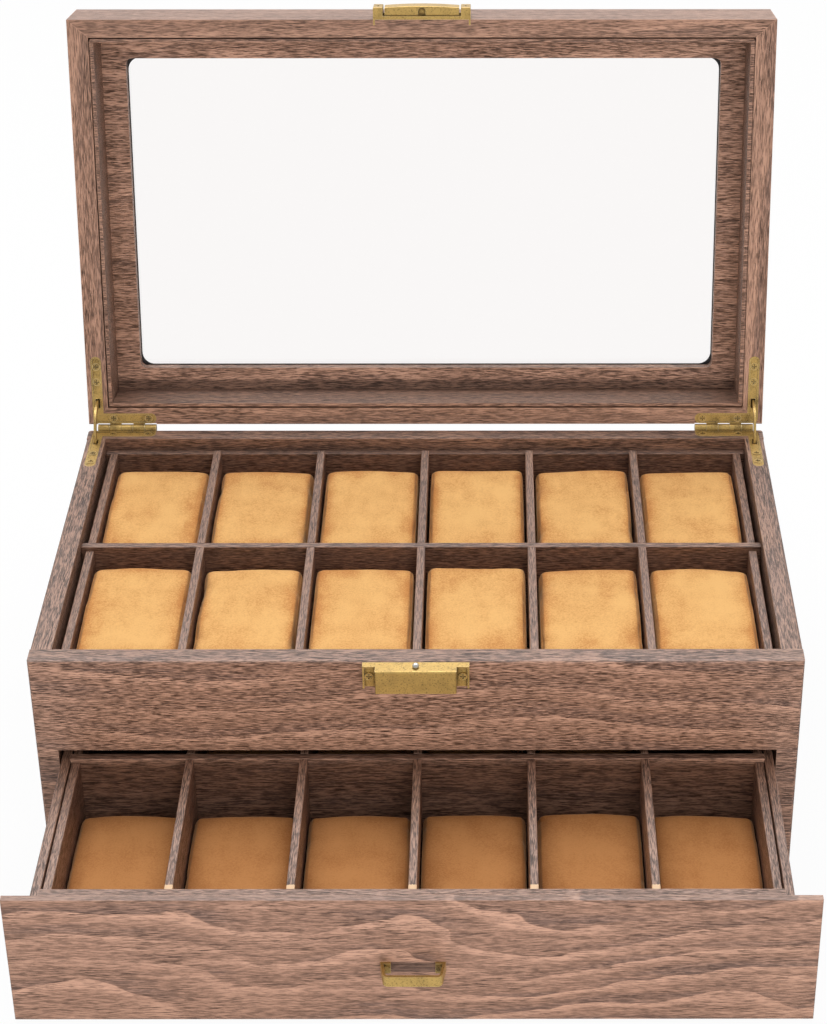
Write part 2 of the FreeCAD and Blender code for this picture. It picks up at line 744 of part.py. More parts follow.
LID_SIDE = "(case_width / 2)"
RAIL_INNER_X = "(case_width / 2 - lid_side_rail)"
RAIL_INNER_BACK = "(0 - hinge_offset - lid_end_rail)"
RAIL_INNER_FRONT = "(0 - hinge_offset - case_depth + lid_end_rail)"
BOARD_LOW = "(lid_depth - lid_board)"


def outline(body, name, corners, start):
    """A closed sketch on the body's XY plane through corners, each bound to its own pair of rules."""
    plane = [item for item in body.Origin.OriginFeatures if item.Role == "XY_Plane"][0]
    sketch = body.newObject("Sketcher::SketchObject", name)
    sketch.AttachmentSupport = [(plane, "")]
    sketch.MapMode = "FlatFace"
    count = len(corners)
    points = [Vector(x, y, 0) for x, y in start]
    for n in range(count):
        sketch.addGeometry(Part.LineSegment(points[n], points[(n + 1) % count]), False)
    for n in range(count):
        sketch.addConstraint(Sketcher.Constraint("Coincident", n, 2, (n + 1) % count, 1))
    for n, (x, y) in enumerate(corners):
        across = sketch.addConstraint(Sketcher.Constraint("DistanceX", -1, 1, n, 1, start[n][0]))
        sketch.setExpression("Constraints[%d]" % across, rule(x))
        along = sketch.addConstraint(Sketcher.Constraint("DistanceY", -1, 1, n, 1, start[n][1]))
        sketch.setExpression("Constraints[%d]" % along, rule(y))
    return sketch


def rail(name, corners, start):
    """A mitred rail: a four-cornered outline raised to the lid's depth."""
    body = doc.addObject("PartDesign::Body", name)
    sketch = outline(body, name + "_outline", corners, start)
    pad = body.newObject("PartDesign::Pad", name + "_pad")
    pad.Profile = sketch
    pad.setExpression("Length", rule("lid_depth"))
    doc.recompute()
    return body, pad


def outer_edges(shape):
    """Names of a rail's outer edges along the top and up the corners."""
    names = []
    half = size["case_width"] / 2
    back = -size["hinge_offset"]
    front = back - size["case_depth"]
    for n, edge in enumerate(shape.Edges, start=1):
        middle = edge.CenterOfMass
        on_side = abs(abs(middle.x) - half) < 1e-6
        on_end = min(abs(middle.y - back), abs(middle.y - front)) < 1e-6
        at_top = abs(middle.z - size["lid_depth"]) < 1e-6
        if at_top and (on_side or on_end) and not runs(edge, Z_AXIS):
            names.append("Edge%d" % n)
    return names


def lid_rails():
    """Four mitred rails with softened top edges."""
    half = size["case_width"] / 2
    inner = half - size["lid_side_rail"]
    back = -size["hinge_offset"]
    front = back - size["case_depth"]
    inner_back = back - size["lid_end_rail"]
    inner_front = front + size["lid_end_rail"]
    rails = {
        "front": (
            [("0 - " + LID_SIDE, LID_FRONT), (LID_SIDE, LID_FRONT), (RAIL_INNER_X, RAIL_INNER_FRONT),
             ("0 - " + RAIL_INNER_X, RAIL_INNER_FRONT)],
            [(-half, front), (half, front), (inner, inner_front), (-inner, inner_front)],
        ),
        "back": (
            [(LID_SIDE, LID_BACK), ("0 - " + LID_SIDE, LID_BACK), ("0 - " + RAIL_INNER_X, RAIL_INNER_BACK),
             (RAIL_INNER_X, RAIL_INNER_BACK)],
            [(half, back), (-half, back), (-inner, inner_back), (inner, inner_back)],
        ),
        "left": (
            [("0 - " + LID_SIDE, LID_BACK), ("0 - " + LID_SIDE, LID_FRONT),
             ("0 - " + RAIL_INNER_X, RAIL_INNER_FRONT), ("0 - " + RAIL_INNER_X, RAIL_INNER_BACK)],
            [(-half, back), (-half, front), (-inner, inner_front), (-inner, inner_back)],
        ),
        "right": (
            [(LID_SIDE, LID_FRONT), (LID_SIDE, LID_BACK), (RAIL_INNER_X, RAIL_INNER_BACK),
             (RAIL_INNER_X, RAIL_INNER_FRONT)],
            [(half, front), (half, back), (inner, inner_back), (inner, inner_front)],
        ),
    }
    for place, (corners, start) in rails.items():
        body, pad = rail("rail_" + place, corners, start)
        soft = body.newObject("PartDesign::Fillet", "rail_soft_" + place)
        soft.Base = (pad, outer_edges(pad.Shape))
        soft.setExpression("Radius", rule("edge_round"))
        doc.recompute()
        if place == "front":
            tools = keeper_bores("rail_front_bore")
        else:
            tools = leaf_pockets("rail_pocket_" + place, 1)
        lid_node(cut("rail_cut_" + place, body, tools), "lid_%s_rail" % place)


def keeper_bores(name):
    """What the lid's front rail loses for its latch plate: two screw holes and two tab beds."""
    tools = []
    for side, hand in SIDES:
        tools.append(rod("%s_hole_%s" % (name, side), "screw_shank_r + hole_play", "lid_end_rail - 1",
                         "%d * (latch_long - keeper_ear) / 2" % hand, "%s + lid_end_rail - 1" % LID_FRONT,
                         "latch_high / 2", "-Y"))
        tools.append(centred("%s_tab_%s" % (name, side), "tab_thick", "2 * tab_long", "latch_high / 3",
                             "%d * (latch_long - tab_thick) / 2" % hand, "%s - tab_long" % LID_FRONT, 0))
    return tools


def window_prism(name, grow, low, high, radius):
    """The window opening grown by a margin, from low to high, with round corners."""
    blank = centred(name + "_blank", "2 * (%s - window_side_border + %s)" % (RAIL_INNER_X, grow),
                    "case_depth - 2 * (lid_end_rail + window_end_border - %s)" % grow,
                    "%s - %s" % (high, low), 0, "%s + window_end_border - %s" % (RAIL_INNER_FRONT, grow), low)
    return rounded(name, blank, lambda edge: runs(edge, Z_AXIS), radius)


def window_board():
    """The board inside the rails, with the window and a rebate in its upper face for the glass."""
    blank = centred("window_blank", "2 * " + RAIL_INNER_X, "case_depth - 2 * lid_end_rail", "lid_board", 0,
                    RAIL_INNER_FRONT, BOARD_LOW)
    window = window_prism("window_hole", "0", BOARD_LOW + " - 1", "(lid_depth + 1)", size["window_corner"])
    seat = window_prism("window_rebate", "rebate", "(lid_depth - rebate_deep)", "(lid_depth + 1)",
                        size["window_corner"])
    return cut("window_board", blank, [window, seat])


def window_seal():
    """A thin black bead between the rebate and the glass."""
    outer = window_prism("seal_outer", "(rebate - hole_play)", "(lid_depth - rebate_deep)",
                         "(lid_depth - rebate_deep + seal_thick)", size["window_corner"])
    inner = window_prism("seal_inner", "(0 - 0.4)", "(lid_depth - rebate_deep - 1)",
                         "(lid_depth - rebate_deep + seal_thick + 1)", 2 * size["window_corner"])
    return cut("seal", outer, [inner])


def window_glass():
    """A plain pane in the rebate, just below the top of the board."""
    low = "(lid_depth - rebate_deep + seal_thick)"
    high = "(%s + glass_thick)" % low
    return window_prism("pane", "(rebate - hole_play)", low, high, size["window_corner"])


def lid_liner():
    """Four thin panels a hair inside the rails, from the rim to the window board."""
    span_x = "(2 * (%s - liner_gap))" % RAIL_INNER_X
    low_y = "(%s + liner_gap)" % RAIL_INNER_FRONT
    high_y = "(%s - liner_gap)" % RAIL_INNER_BACK
    side_span = "%s - %s - 2 * liner" % (high_y, low_y)
    panels = [
        centred("liner_front", span_x, "liner", BOARD_LOW, 0, low_y),
        centred("liner_back", span_x, "liner", BOARD_LOW, 0, "%s - liner" % high_y),
    ]
    for side, hand in SIDES:
        panels.append(centred("liner_" + side, "liner", side_span, BOARD_LOW,
                              "%d * (%s - liner_gap - liner / 2)" % (hand, RAIL_INNER_X),
                              "%s + liner" % low_y))
    return group("liners", panels)


lid_rails()
lid_node(window_board(), "lid_window_board")
lid_node(window_seal(), "lid_glass_seal")
lid_node(group("pane_set", [window_glass()]), "lid_glass")
lid_node(lid_liner(), "lid_liner")


# Latch on the lid

BUTTON_LONG = "(latch_long - 2 * keeper_ear - 2 * button_gap)"


def keeper_frame():
    """A plate with a window for the button, an ear at each end and two tabs under the rim."""
    plate = centred("keeper_plate", "latch_long", "keeper_plate", "latch_high",
                    0, "%s - keeper_plate" % LID_FRONT)
    solids = [plate]
    for side, hand in SIDES:
        ear = centred("keeper_ear_" + side, "keeper_ear", "keeper_proud", "latch_high",
                      "%d * (latch_long - keeper_ear) / 2" % hand, "%s - keeper_proud" % LID_FRONT)
        solids.append(rounded("keeper_ear_soft_" + side, ear, keeper_front_edges, 0.6 * size["ear_border"]))
        solids.append(centred("keeper_tab_" + side, "tab_thick - hole_play", "tab_long + keeper_plate / 2",
                              "latch_high / 3 - hole_play", "%d * (latch_long - tab_thick) / 2" % hand,
                              "%s - keeper_plate / 2" % LID_FRONT))
    tools = [
        centred("keeper_window", "latch_long - 2 * keeper_ear", "3 * keeper_plate",
                "latch_high - button_step - ear_border + 0.1", 0, "%s - 2 * keeper_plate" % LID_FRONT,
                "button_step - 0.1")
    ]
    for side, hand in SIDES:
        x = "%d * (latch_long - keeper_ear) / 2" % hand
        tools.append(rod("keeper_hole_" + side, "screw_shank_r + hole_play", "2 * keeper_proud", x,
                         "%s + keeper_proud / 2" % LID_FRONT, "latch_high / 2", "-Y"))
        tools.append(rod("keeper_seat_" + side, "screw_head_r + hole_play", "2 * screw_head_high", x,
                         "%s - keeper_proud + screw_head_high" % LID_FRONT, "latch_high / 2", "-Y"))
    return cut("keeper", join("keeper_blank", solids), tools)


def keeper_front_edges(edge):
    """Edges round the front face of an ear."""
    front = -size["hinge_offset"] - size["case_depth"] - size["keeper_proud"]
    return abs(edge.CenterOfMass.y - front) < 1e-6


def latch_button():
    """The pressed block between the ears: a crowned front, and an arch below that clears the stud."""
    back = "(%s - button_travel - button_stop)" % LID_FRONT
    deep = "(button_proud - button_travel - button_stop)"
    high = "(latch_high - button_step - ear_border - 0.2)"
    block = centred("button_block", BUTTON_LONG, deep + " + button_crown", high, 0,
                    "%s - %s - button_crown" % (back, deep), "button_step")
    arc_r = "(((latch_long / 2 - keeper_ear - button_gap) * (latch_long / 2 - keeper_ear - button_gap)" \
            " + button_crown * button_crown) / (2 * button_crown))"
    crown = rod("button_crown_form", arc_r, "latch_high", 0, "%s - button_proud - button_crown + %s"
                % (LID_FRONT, arc_r), 0)
    body = doc.addObject("Part::MultiCommon", "button_form")
    body.Shapes = [block, crown]
    arch = [
        rod("button_arch_end", "arch_r", "stud_high + 0.4",
            0, "%s - stud_out" % LID_FRONT, "button_step - 0.4"),
        centred("button_arch_way", "2 * arch_r", "stud_out", "stud_high + 0.4",
                0, "%s - stud_out" % LID_FRONT, "button_step - 0.4"),
    ]

    def front_rims(edge):
        middle = edge.CenterOfMass
        front = -size["hinge_offset"] - size["case_depth"] - size["button_proud"]
        return middle.y < front - 0.2 and not runs(edge, Z_AXIS)

    soft = rounded("button_soft", body, front_rims, 0.7 * size["ear_border"])
    return cut("button", soft, arch)


def lid_screws():
    """The lid's hinge screws and the two screws of its latch plate."""
    screws = leaf_screws("lid_screw", 1)
    for side, hand in SIDES:
        screws.append(
            face_screw("keeper_screw_" + side, "%d * (latch_long - keeper_ear) / 2" % hand,
                       "%s - keeper_proud + screw_head_high" % LID_FRONT, "latch_high / 2",
                       "screw_long + keeper_plate")
        )
    return group("lid_screw_set", screws)


lid_node(keeper_frame(), "latch_frame")
lid_node(latch_button(), "latch_button")
lid_node(lid_screws(), "lid_screws")


# Drawer, drawn where it stands out

DRAWER_FACE = "(0 - case_depth / 2 - drawer_out - drawer_front_thick)"
DRAWER_START = "(0 - case_depth / 2 - drawer_out)"
DRAWER_HALF = "(case_width / 2 - side_wall - drawer_play)"
DRAWER_LOW = "(base_panel + drawer_lift)"
DRAWER_BASE = "(base_panel + drawer_lift + drawer_wall)"
ROW_FRONT = "(%s + drawer_wall)" % DRAWER_START
ROW_MIDDLE = "(%s + drawer_length / 2 + drawer_middle)" % DRAWER_START
ROW_BACK = "(%s + drawer_length - drawer_wall)" % DRAWER_START
DRAWER_SIDE_TOP = "(mouth_height - drawer_side_drop)"
DRAWER_STRIP_TOP = "(%s - drawer_strip_drop)" % DRAWER_SIDE_TOP
DRAWER_DIVIDER_TOP = "(mouth_height - drawer_divider_drop)"
DRAWER_FRONT_TOP = "(mouth_height - drawer_front_drop)"


def pull_strip():
    """A bent strip: two feet on the face board, two slanting legs and a bar with round corners."""
    half_long = size["grip_long"] / 2
    half_bar = size["grip_bar"] / 2
    out = size["grip_out"]
    thick = size["grip_thick"]
    foot = half_long - size["grip_foot"]
    lean = (half_long - half_bar) / out
    bend = 2 * thick
    outer = [
        Vector(foot, 0, 0), Vector(half_long, 0, 0), Vector(half_bar, -out, 0),
        Vector(-half_bar, -out, 0), Vector(-half_long, 0, 0), Vector(-foot, 0, 0),
        Vector(-foot, -thick, 0), Vector(-half_long + thick + lean * thick, -thick, 0),
        Vector(-half_bar + thick - lean * thick, -out + thick, 0),
        Vector(half_bar - thick + lean * thick, -out + thick, 0),
        Vector(half_long - thick - lean * thick, -thick, 0), Vector(foot, -thick, 0),
    ]
    face = Part.Face(Part.makePolygon(outer + [outer[0]]))
    solid = face.extrude(Vector(0, 0, size["grip_wide"]))

    def corners(reach, depth):
        return [edge for edge in solid.Edges if runs(edge, Z_AXIS)
                and abs(abs(edge.CenterOfMass.x) - reach) < 1e-6 and abs(edge.CenterOfMass.y + depth) < 1e-6]

    solid = solid.makeFillet(bend, corners(half_bar, out))
    solid = solid.makeFillet(bend - thick, corners(half_bar - thick + lean * thick, out - thick))
    holes = []
    for side, hand in SIDES:
        centre = Vector(hand * (half_long - size["grip_foot"] / 2 - thick / 2), thick, size["grip_wide"] / 2)
        bore = size["rivet_r"] + size["hole_play"]
        holes.append(Part.makeCylinder(bore, 3 * thick, centre, Vector(0, -1, 0)))
    return solid.cut(holes)


def pull():
    """The drawer pull in its place on the face board."""
    item = doc.addObject("Part::Feature", "pull_strip")
    item.Shape = pull_strip()
    put(item, 0, DRAWER_FACE, "grip_centre - grip_wide / 2")
    return item


def pull_rivets(bore):
    """Two headed rivets through the pull's feet and both front boards, or the holes for them."""
    pieces = []
    reach = "(grip_long / 2 - grip_foot / 2 - grip_thick / 2)"
    through = "drawer_front_thick + drawer_wall"
    for side, hand in SIDES:
        x = "%d * %s" % (hand, reach)
        name = "%s_%s" % ("rivet_bore" if bore else "rivet", side)
        if bore:
            pieces.append(rod(name, "rivet_r + hole_play", "2 * (%s)" % through, x,
                              "%s + 1.5 * (%s)" % (DRAWER_FACE, through), "grip_centre", "-Y"))
            continue
        shank = rod(name + "_shank", "rivet_r", "%s + grip_thick" % through, x,
                    "%s + %s" % (DRAWER_FACE, through), "grip_centre", "-Y")
        outer = rod(name + "_outer", "rivet_head", "grip_thick / 3", x, "%s - grip_thick" % DRAWER_FACE,
                    "grip_centre", "-Y")
        inner = rod(name + "_inner", "rivet_head", "grip_thick / 2", x,
                    "%s + %s + grip_thick / 2" % (DRAWER_FACE, through), "grip_centre", "-Y")
        pieces.append(join(name, [shank, outer, inner]))
    return pieces


def drawer_face_board():
    """The flat board that covers the mouth and the posts."""
    board = centred("face_board",
                    "case_width", "drawer_front_thick", "%s - drawer_front_lift" % DRAWER_FRONT_TOP,
                    0, DRAWER_FACE, "drawer_front_lift")

    def front_rims(edge):
        middle = edge.CenterOfMass
        face = -size["case_depth"] / 2 - size["drawer_out"] - size["drawer_front_thick"]
        return abs(middle.y - face) < 1e-6

    return rounded("face_soft", board, front_rims, size["edge_round"] / 2)


def drawer_side_strips():
    """Two strips along each side, one for each row."""
    strips = []
    for side, hand in SIDES:
        x = "%d * (drawer_inside / 2 - drawer_strip_gap - strip / 2)" % hand
        strips.append(strip_stand("drawer_strip_front_" + side, "strip",
                                  "%s - drawer_wall / 2 - %s" % (ROW_MIDDLE, ROW_FRONT), DRAWER_STRIP_TOP, x,
                                  ROW_FRONT, DRAWER_BASE))
        strips.append(strip_stand("drawer_strip_rear_" + side, "strip",
                                  "%s - %s - drawer_wall / 2" % (ROW_BACK, ROW_MIDDLE), DRAWER_STRIP_TOP, x,
                                  "%s + drawer_wall / 2" % ROW_MIDDLE, DRAWER_BASE))
    return group("drawer_strips", strips)


rivet_bores = pull_rivets(True)
node(cut("face_drilled", drawer_face_board(), rivet_bores), "drawer_front")
node(
    cut(
        "box_front_drilled",
        centred("box_front", "drawer_inside", "drawer_wall", "%s - %s" % (DRAWER_FRONT_TOP, DRAWER_LOW), 0,
                DRAWER_START, DRAWER_LOW),
        rivet_bores,
    ),
    "drawer_box_front",
)
for side, hand in SIDES:
    node(
        centred("drawer_wall_" + side,
                "drawer_wall", "drawer_length", "%s - %s" % (DRAWER_SIDE_TOP, DRAWER_LOW),
                "%d * (%s - drawer_wall / 2)" % (hand, DRAWER_HALF), DRAWER_START, DRAWER_LOW),
        "drawer_%s_side" % side,
    )
node(
    centred("drawer_back_board", "drawer_inside", "drawer_wall", "%s - %s" % (DRAWER_SIDE_TOP, DRAWER_LOW), 0,
            ROW_BACK, DRAWER_LOW),
    "drawer_back",
)
node(
    centred("drawer_floor", "drawer_inside", "drawer_length - 2 * drawer_wall", "drawer_wall", 0, ROW_FRONT,
            DRAWER_LOW),
    "drawer_bottom",
)
node(drawer_side_strips(), "drawer_side_strips")
node(
    strip_stand("drawer_middle_board", "drawer_inside", "drawer_wall", DRAWER_DIVIDER_TOP, 0,
                "%s - drawer_wall / 2" % ROW_MIDDLE, DRAWER_BASE),
    "drawer_mid_divider",
)
node(
    dividers(
        "drawer_cross",
        CUSHION_COLUMNS - 1,
        "drawer_pitch",
        "drawer_divider",
        DRAWER_DIVIDER_TOP,
        DRAWER_BASE,
        [
            (ROW_FRONT, "(%s - drawer_wall / 2)" % ROW_MIDDLE),
            ("(%s + drawer_wall / 2)" % ROW_MIDDLE, ROW_BACK),
        ],
    ),
    "drawer_dividers",
)
node(pull(), "drawer_handle")
node(group("rivets", pull_rivets(False)), "drawer_handle_rivets")


# Cushions

def cushion_outline():
    """The cushion from above: four gently bowed sides that meet in corners."""
    bow = size["cushion_bow"]
    half_x = size["cushion_wide"] / 2
    half_y = size["cushion_long"] / 2
    corners = [
        Vector(half_x - bow, bow - half_y, 0),
        Vector(half_x - bow, half_y - bow, 0),
        Vector(bow - half_x, half_y - bow, 0),
        Vector(bow - half_x, bow - half_y, 0),
    ]
    middles = [Vector(half_x, 0, 0), Vector(0, half_y, 0), Vector(-half_x, 0, 0), Vector(0, -half_y, 0)]
    sides = []
    for n, middle in enumerate(middles):
        sides.append(Part.Arc(corners[n], middle, corners[(n + 1) % 4]).toShape())
    return Part.Wire(sides)


def cushion_form():
    """A stuffed block: bowed sides, rounded corners, a low crown with a rolled rim and a rolled foot."""
    high = size["cushion_high"]
    block = Part.Face(cushion_outline()).extrude(Vector(0, 0, high))
    uprights = [edge for edge in block.Edges if edge.BoundBox.ZLength > high / 2]
    block = block.makeFillet(size["cushion_corner"], uprights)
    radius = size["cushion_long"] ** 2 / 8 / size["cushion_crown"] + size["cushion_crown"] / 2
    block = block.common(Part.makeSphere(radius, Vector(0, 0, high - radius), Z_AXIS))
    rim = [edge for edge in block.Edges if edge.BoundBox.ZMin > high / 2]
    block = block.makeFillet(size["cushion_roll"], rim)
    foot = [edge for edge in block.Edges if edge.BoundBox.ZMax < high / 2]
    return block.makeFillet(size["cushion_roll"] / 2, foot)


def cushion(name, shape, column, pitch, y, base):
    """One cushion standing on a floor, in a column of its row."""
    item = doc.addObject("Part::Feature", name)
    item.Shape = shape
    put(item, "%g * %s" % (column, pitch), "%s + cushion_long / 2" % y, base)
    return item


def cushion_row(name, shape, pitch, y, base):
    """One row of cushions, each in the middle of its slot."""
    row = []
    for n in range(CUSHION_COLUMNS):
        column = n - (CUSHION_COLUMNS - 1) / 2
        row.append(cushion("%s_%d" % (name, n + 1), shape, column, pitch, y, base))
    return row


cushion_shape = cushion_form()
front_row = cushion_row("tray_front_cushion", cushion_shape, "tray_pitch",
                        "(%s + cushion_front_gap)" % TRAY_FRONT, TRAY_BASE)
rear_row = cushion_row("tray_rear_cushion", cushion_shape, "tray_pitch",
                       "(tray_middle + strip / 2 + cushion_row_gap)", TRAY_BASE)
for n, item in enumerate(front_row + rear_row, start=1):
    node(item, "tray_cushion_%d" % n)
drawer_row = cushion_row("drawer_front_cushion", cushion_shape, "drawer_pitch",
                         "(%s + cushion_front_gap)" % ROW_FRONT, DRAWER_BASE)
for n, item in enumerate(drawer_row, start=1):
    node(item, "drawer_cushion_%d" % n)
node(
    group(
        "drawer_rear_set",
        cushion_row("drawer_rear_cushion", cushion_shape, "drawer_pitch",
                    "(%s + drawer_wall / 2 + cushion_row_gap)" % ROW_MIDDLE, DRAWER_BASE),
    ),
    "drawer_cushions_rear",
)


# Build, check and export

doc.recompute()
for item in doc.Objects:
    if {"Invalid", "Error"} & set(item.State):
        raise RuntimeError("%s (%s) did not build: %s" % (item.Name, item.Label, item.State))
os.makedirs("parts", exist_ok=True)
for item in nodes:
    if item.Shape.isNull() or not item.Shape.isValid() or not item.Shape.Solids:
        raise RuntimeError("%s has no valid solid" % item.Label)
    print("%-24s %3d solids %10.0f mm3" % (item.Label, len(item.Shape.Solids), item.Shape.Volume))
    item.Shape.exportStep("parts/%s.step" % item.Label)
print(len(nodes), "nodes")
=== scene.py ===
"""Looks of the watch box with a drawer: wood-grain wrap, suede cushions, aged brass and a glass lid."""

import json
import math

import bmesh
import bpy
import numpy as np
from mathutils import Euler, Matrix, Vector

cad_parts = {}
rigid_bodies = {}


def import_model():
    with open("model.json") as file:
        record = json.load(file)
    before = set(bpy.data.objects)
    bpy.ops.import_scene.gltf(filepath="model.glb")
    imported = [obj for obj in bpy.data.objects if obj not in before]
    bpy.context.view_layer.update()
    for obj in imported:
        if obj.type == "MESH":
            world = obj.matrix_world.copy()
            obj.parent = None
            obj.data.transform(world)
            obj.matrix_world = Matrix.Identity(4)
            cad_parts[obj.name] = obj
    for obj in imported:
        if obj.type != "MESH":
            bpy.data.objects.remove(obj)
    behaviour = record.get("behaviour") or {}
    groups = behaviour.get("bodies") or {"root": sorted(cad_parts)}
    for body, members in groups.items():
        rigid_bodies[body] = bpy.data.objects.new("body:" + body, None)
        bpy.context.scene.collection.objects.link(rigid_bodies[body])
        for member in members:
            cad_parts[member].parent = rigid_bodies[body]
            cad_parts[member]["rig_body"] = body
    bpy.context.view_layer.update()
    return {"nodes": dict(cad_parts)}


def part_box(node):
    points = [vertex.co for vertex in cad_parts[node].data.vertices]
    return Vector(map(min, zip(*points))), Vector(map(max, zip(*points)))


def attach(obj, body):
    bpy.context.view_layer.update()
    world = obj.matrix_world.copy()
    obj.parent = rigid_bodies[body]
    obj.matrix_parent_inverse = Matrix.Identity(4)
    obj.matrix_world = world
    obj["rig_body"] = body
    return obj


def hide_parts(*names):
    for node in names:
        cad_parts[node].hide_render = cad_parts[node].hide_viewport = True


bl_info = {
    "name": "Watch Box",
    "version": (1, 0, 0),
    "blender": (4, 5, 0),
    "location": "View3D > Sidebar > Watch Box",
    "description": "Dresses the packed watch box and sets its stage",
    "category": "Object",
}

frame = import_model()
# The lid's boards are drawn open by this turn about X
LID_TILT = math.radians(-101.7)
CUSHIONS_IN_ROW = 6
# Share of white that gloss shows of the room in front of the box
FRONT_GLOSS = 0.5
# Bare wood at the front end of each divider of the drawer
RAW_END = 0.0040
# Size of a cushion's blank as a share of its solid, along X, Y and Z
BLANK_SHARE = (0.985, 0.992, 0.985)
# Frames of the filling, and the height of one wave of the crown's rumple
FILLING_FRAMES = 20
RUMPLE = 0.00022
# Half the floor's width, and how far it lies under the box
FLOOR_HALF = 4.0
FLOOR_DROP = 0.0004
# The camera's place, its turn in degrees below level and about Z, and its shift
CAMERA_PLACE = (0.031203, -0.98782, 0.736803)
CAMERA_BELOW_LEVEL = 31.647
CAMERA_ASIDE = -0.067
CAMERA_SHIFT = -0.07554


def linear(red, green, blue):
    """A screen colour of 0 to 255 as linear light.

    Linear = c / 12.92 when c is small, and otherwise (c + 0.055) / 1.055 raised to 2.4.
    """
    c = np.array((red, green, blue)) / 255
    return tuple(float(v) for v in np.where(c <= 0.04045, c / 12.92, ((c + 0.055) / 1.055) ** 2.4))


# Settings


class WoodLook(bpy.types.PropertyGroup):
    """Colours and grain of the wood wrap."""

    pore: bpy.props.FloatVectorProperty(
        name="Pore",
        description="Darkest colour, in the pores",
        subtype="COLOR",
        size=3,
        default=linear(62, 39, 26),
    )
    deep: bpy.props.FloatVectorProperty(
        name="Deep",
        description="Grey bands of the grain",
        subtype="COLOR",
        size=3,
        default=linear(107, 81, 70),
    )
    ground: bpy.props.FloatVectorProperty(
        name="Ground",
        description="Middle colour of the grain",
        subtype="COLOR",
        size=3,
        default=linear(135, 100, 81),
    )
    pale: bpy.props.FloatVectorProperty(
        name="Pale",
        description="Light bands of the grain",
        subtype="COLOR",
        size=3,
        default=linear(182, 140, 117),
    )
    raw: bpy.props.FloatVectorProperty(
        name="Raw end",
        description="Cut ends of the drawer dividers",
        subtype="COLOR",
        size=3,
        default=linear(232, 192, 148),
    )
    arris: bpy.props.FloatProperty(
        name="Arris",
        description="Rounding of the boards' sharp edges",
        default=0.00045,
        min=0.0,
        unit="LENGTH",
    )
    roughness: bpy.props.FloatProperty(
        name="Roughness",
        description="Roughness of the wrap",
        default=0.42,
        min=0.0,
        max=1.0,
        subtype="FACTOR",
    )


class MetalLook(bpy.types.PropertyGroup):
    """Colours of the brass."""

    bright: bpy.props.FloatVectorProperty(
        name="Bright",
        description="Rubbed edges",
        subtype="COLOR",
        size=3,
        default=linear(240, 216, 160),
    )
    brass: bpy.props.FloatVectorProperty(
        name="Brass",
        description="Faces",
        subtype="COLOR",
        size=3,
        default=linear(195, 162, 95),
    )
    patina: bpy.props.FloatVectorProperty(
        name="Patina",
        description="Recesses and specks",
        subtype="COLOR",
        size=3,
        default=linear(50, 34, 12),
    )


class CushionLook(bpy.types.PropertyGroup):
    """Colours and make of the cushions."""

    crown: bpy.props.FloatVectorProperty(
        name="Crown",
        description="Suede on the top",
        subtype="COLOR",
        size=3,
        default=linear(240, 188, 119),
    )
    # The flank colour is painted shade on the cushions' rolled sides
    flank: bpy.props.FloatVectorProperty(
        name="Flank",
        description="Suede towards the sides",
        subtype="COLOR",
        size=3,
        default=linear(196, 127, 67),
    )
    # The drawer's colours are the tray's suede made darker: painted shade of the case over the drawer
    drawer_shaded_crown: bpy.props.FloatVectorProperty(
        name="Drawer crown",
        description="The drawer's shadier suede",
        subtype="COLOR",
        size=3,
        default=linear(196, 136, 82),
    )
    drawer_shaded_flank: bpy.props.FloatVectorProperty(
        name="Drawer flank",
        description="The drawer's suede towards the sides",
        subtype="COLOR",
        size=3,
        default=linear(166, 106, 58),
    )
    voxel: bpy.props.FloatProperty(
        name="Mesh size",
        description="Mesh of the stuffed form",
        default=0.0022,
        min=0.001,
        unit="LENGTH",
    )
    pressure: bpy.props.FloatProperty(
        name="Filling",
        description="Pressure of the filling",
        default=4.0,
        min=0.0,
    )
    swell: bpy.props.FloatProperty(
        name="Swell",
        description="Most that the cover may move",
        default=0.0016,
        min=0.0,
        unit="LENGTH",
    )


class StageLook(bpy.types.PropertyGroup):
    """Camera and light."""

    lens: bpy.props.FloatProperty(
        name="Lens",
        description="Focal length",
        default=88.531,
        unit="CAMERA",
    )
    overhead: bpy.props.FloatProperty(
        name="Overhead",
        description="Overhead lamp",
        default=29.0,
        unit="POWER",
    )
    front: bpy.props.FloatProperty(
        name="Front",
        description="Low front lamp",
        default=50.0,
        unit="POWER",
    )
    fill: bpy.props.FloatProperty(
        name="Fill",
        description="High front lamp",
        default=9.0,
        unit="POWER",
    )
    sky: bpy.props.FloatProperty(
        name="Sky",
        description="Light from all round",
        default=0.12,
        min=0.0,
    )


class WatchBox(bpy.types.PropertyGroup):
    """All settings of the watch box."""

    wood: bpy.props.PointerProperty(type=WoodLook)
    metal: bpy.props.PointerProperty(type=MetalLook)
    cushions: bpy.props.PointerProperty(type=CushionLook)
    stage: bpy.props.PointerProperty(type=StageLook)


# Materials


class Wire:
    """An output of a material's node; arithmetic on it adds Math nodes."""

    def __init__(self, paint, socket):
        self.paint = paint
        self.socket = socket

    def math(self, operation, first, second=0.0):
        return self.paint.add("ShaderNodeMath", {"operation": operation}, {0: first, 1: second})

    def __add__(self, other):
        return self.math("ADD", self, other)

    def __sub__(self, other):
        return self.math("SUBTRACT", self, other)

    def __rsub__(self, other):
        return self.math("SUBTRACT", other, self)

    def __mul__(self, other):
        return self.math("MULTIPLY", self, other)

    def __truediv__(self, other):
        return self.math("DIVIDE", self, other)

    __radd__ = __add__
    __rmul__ = __mul__


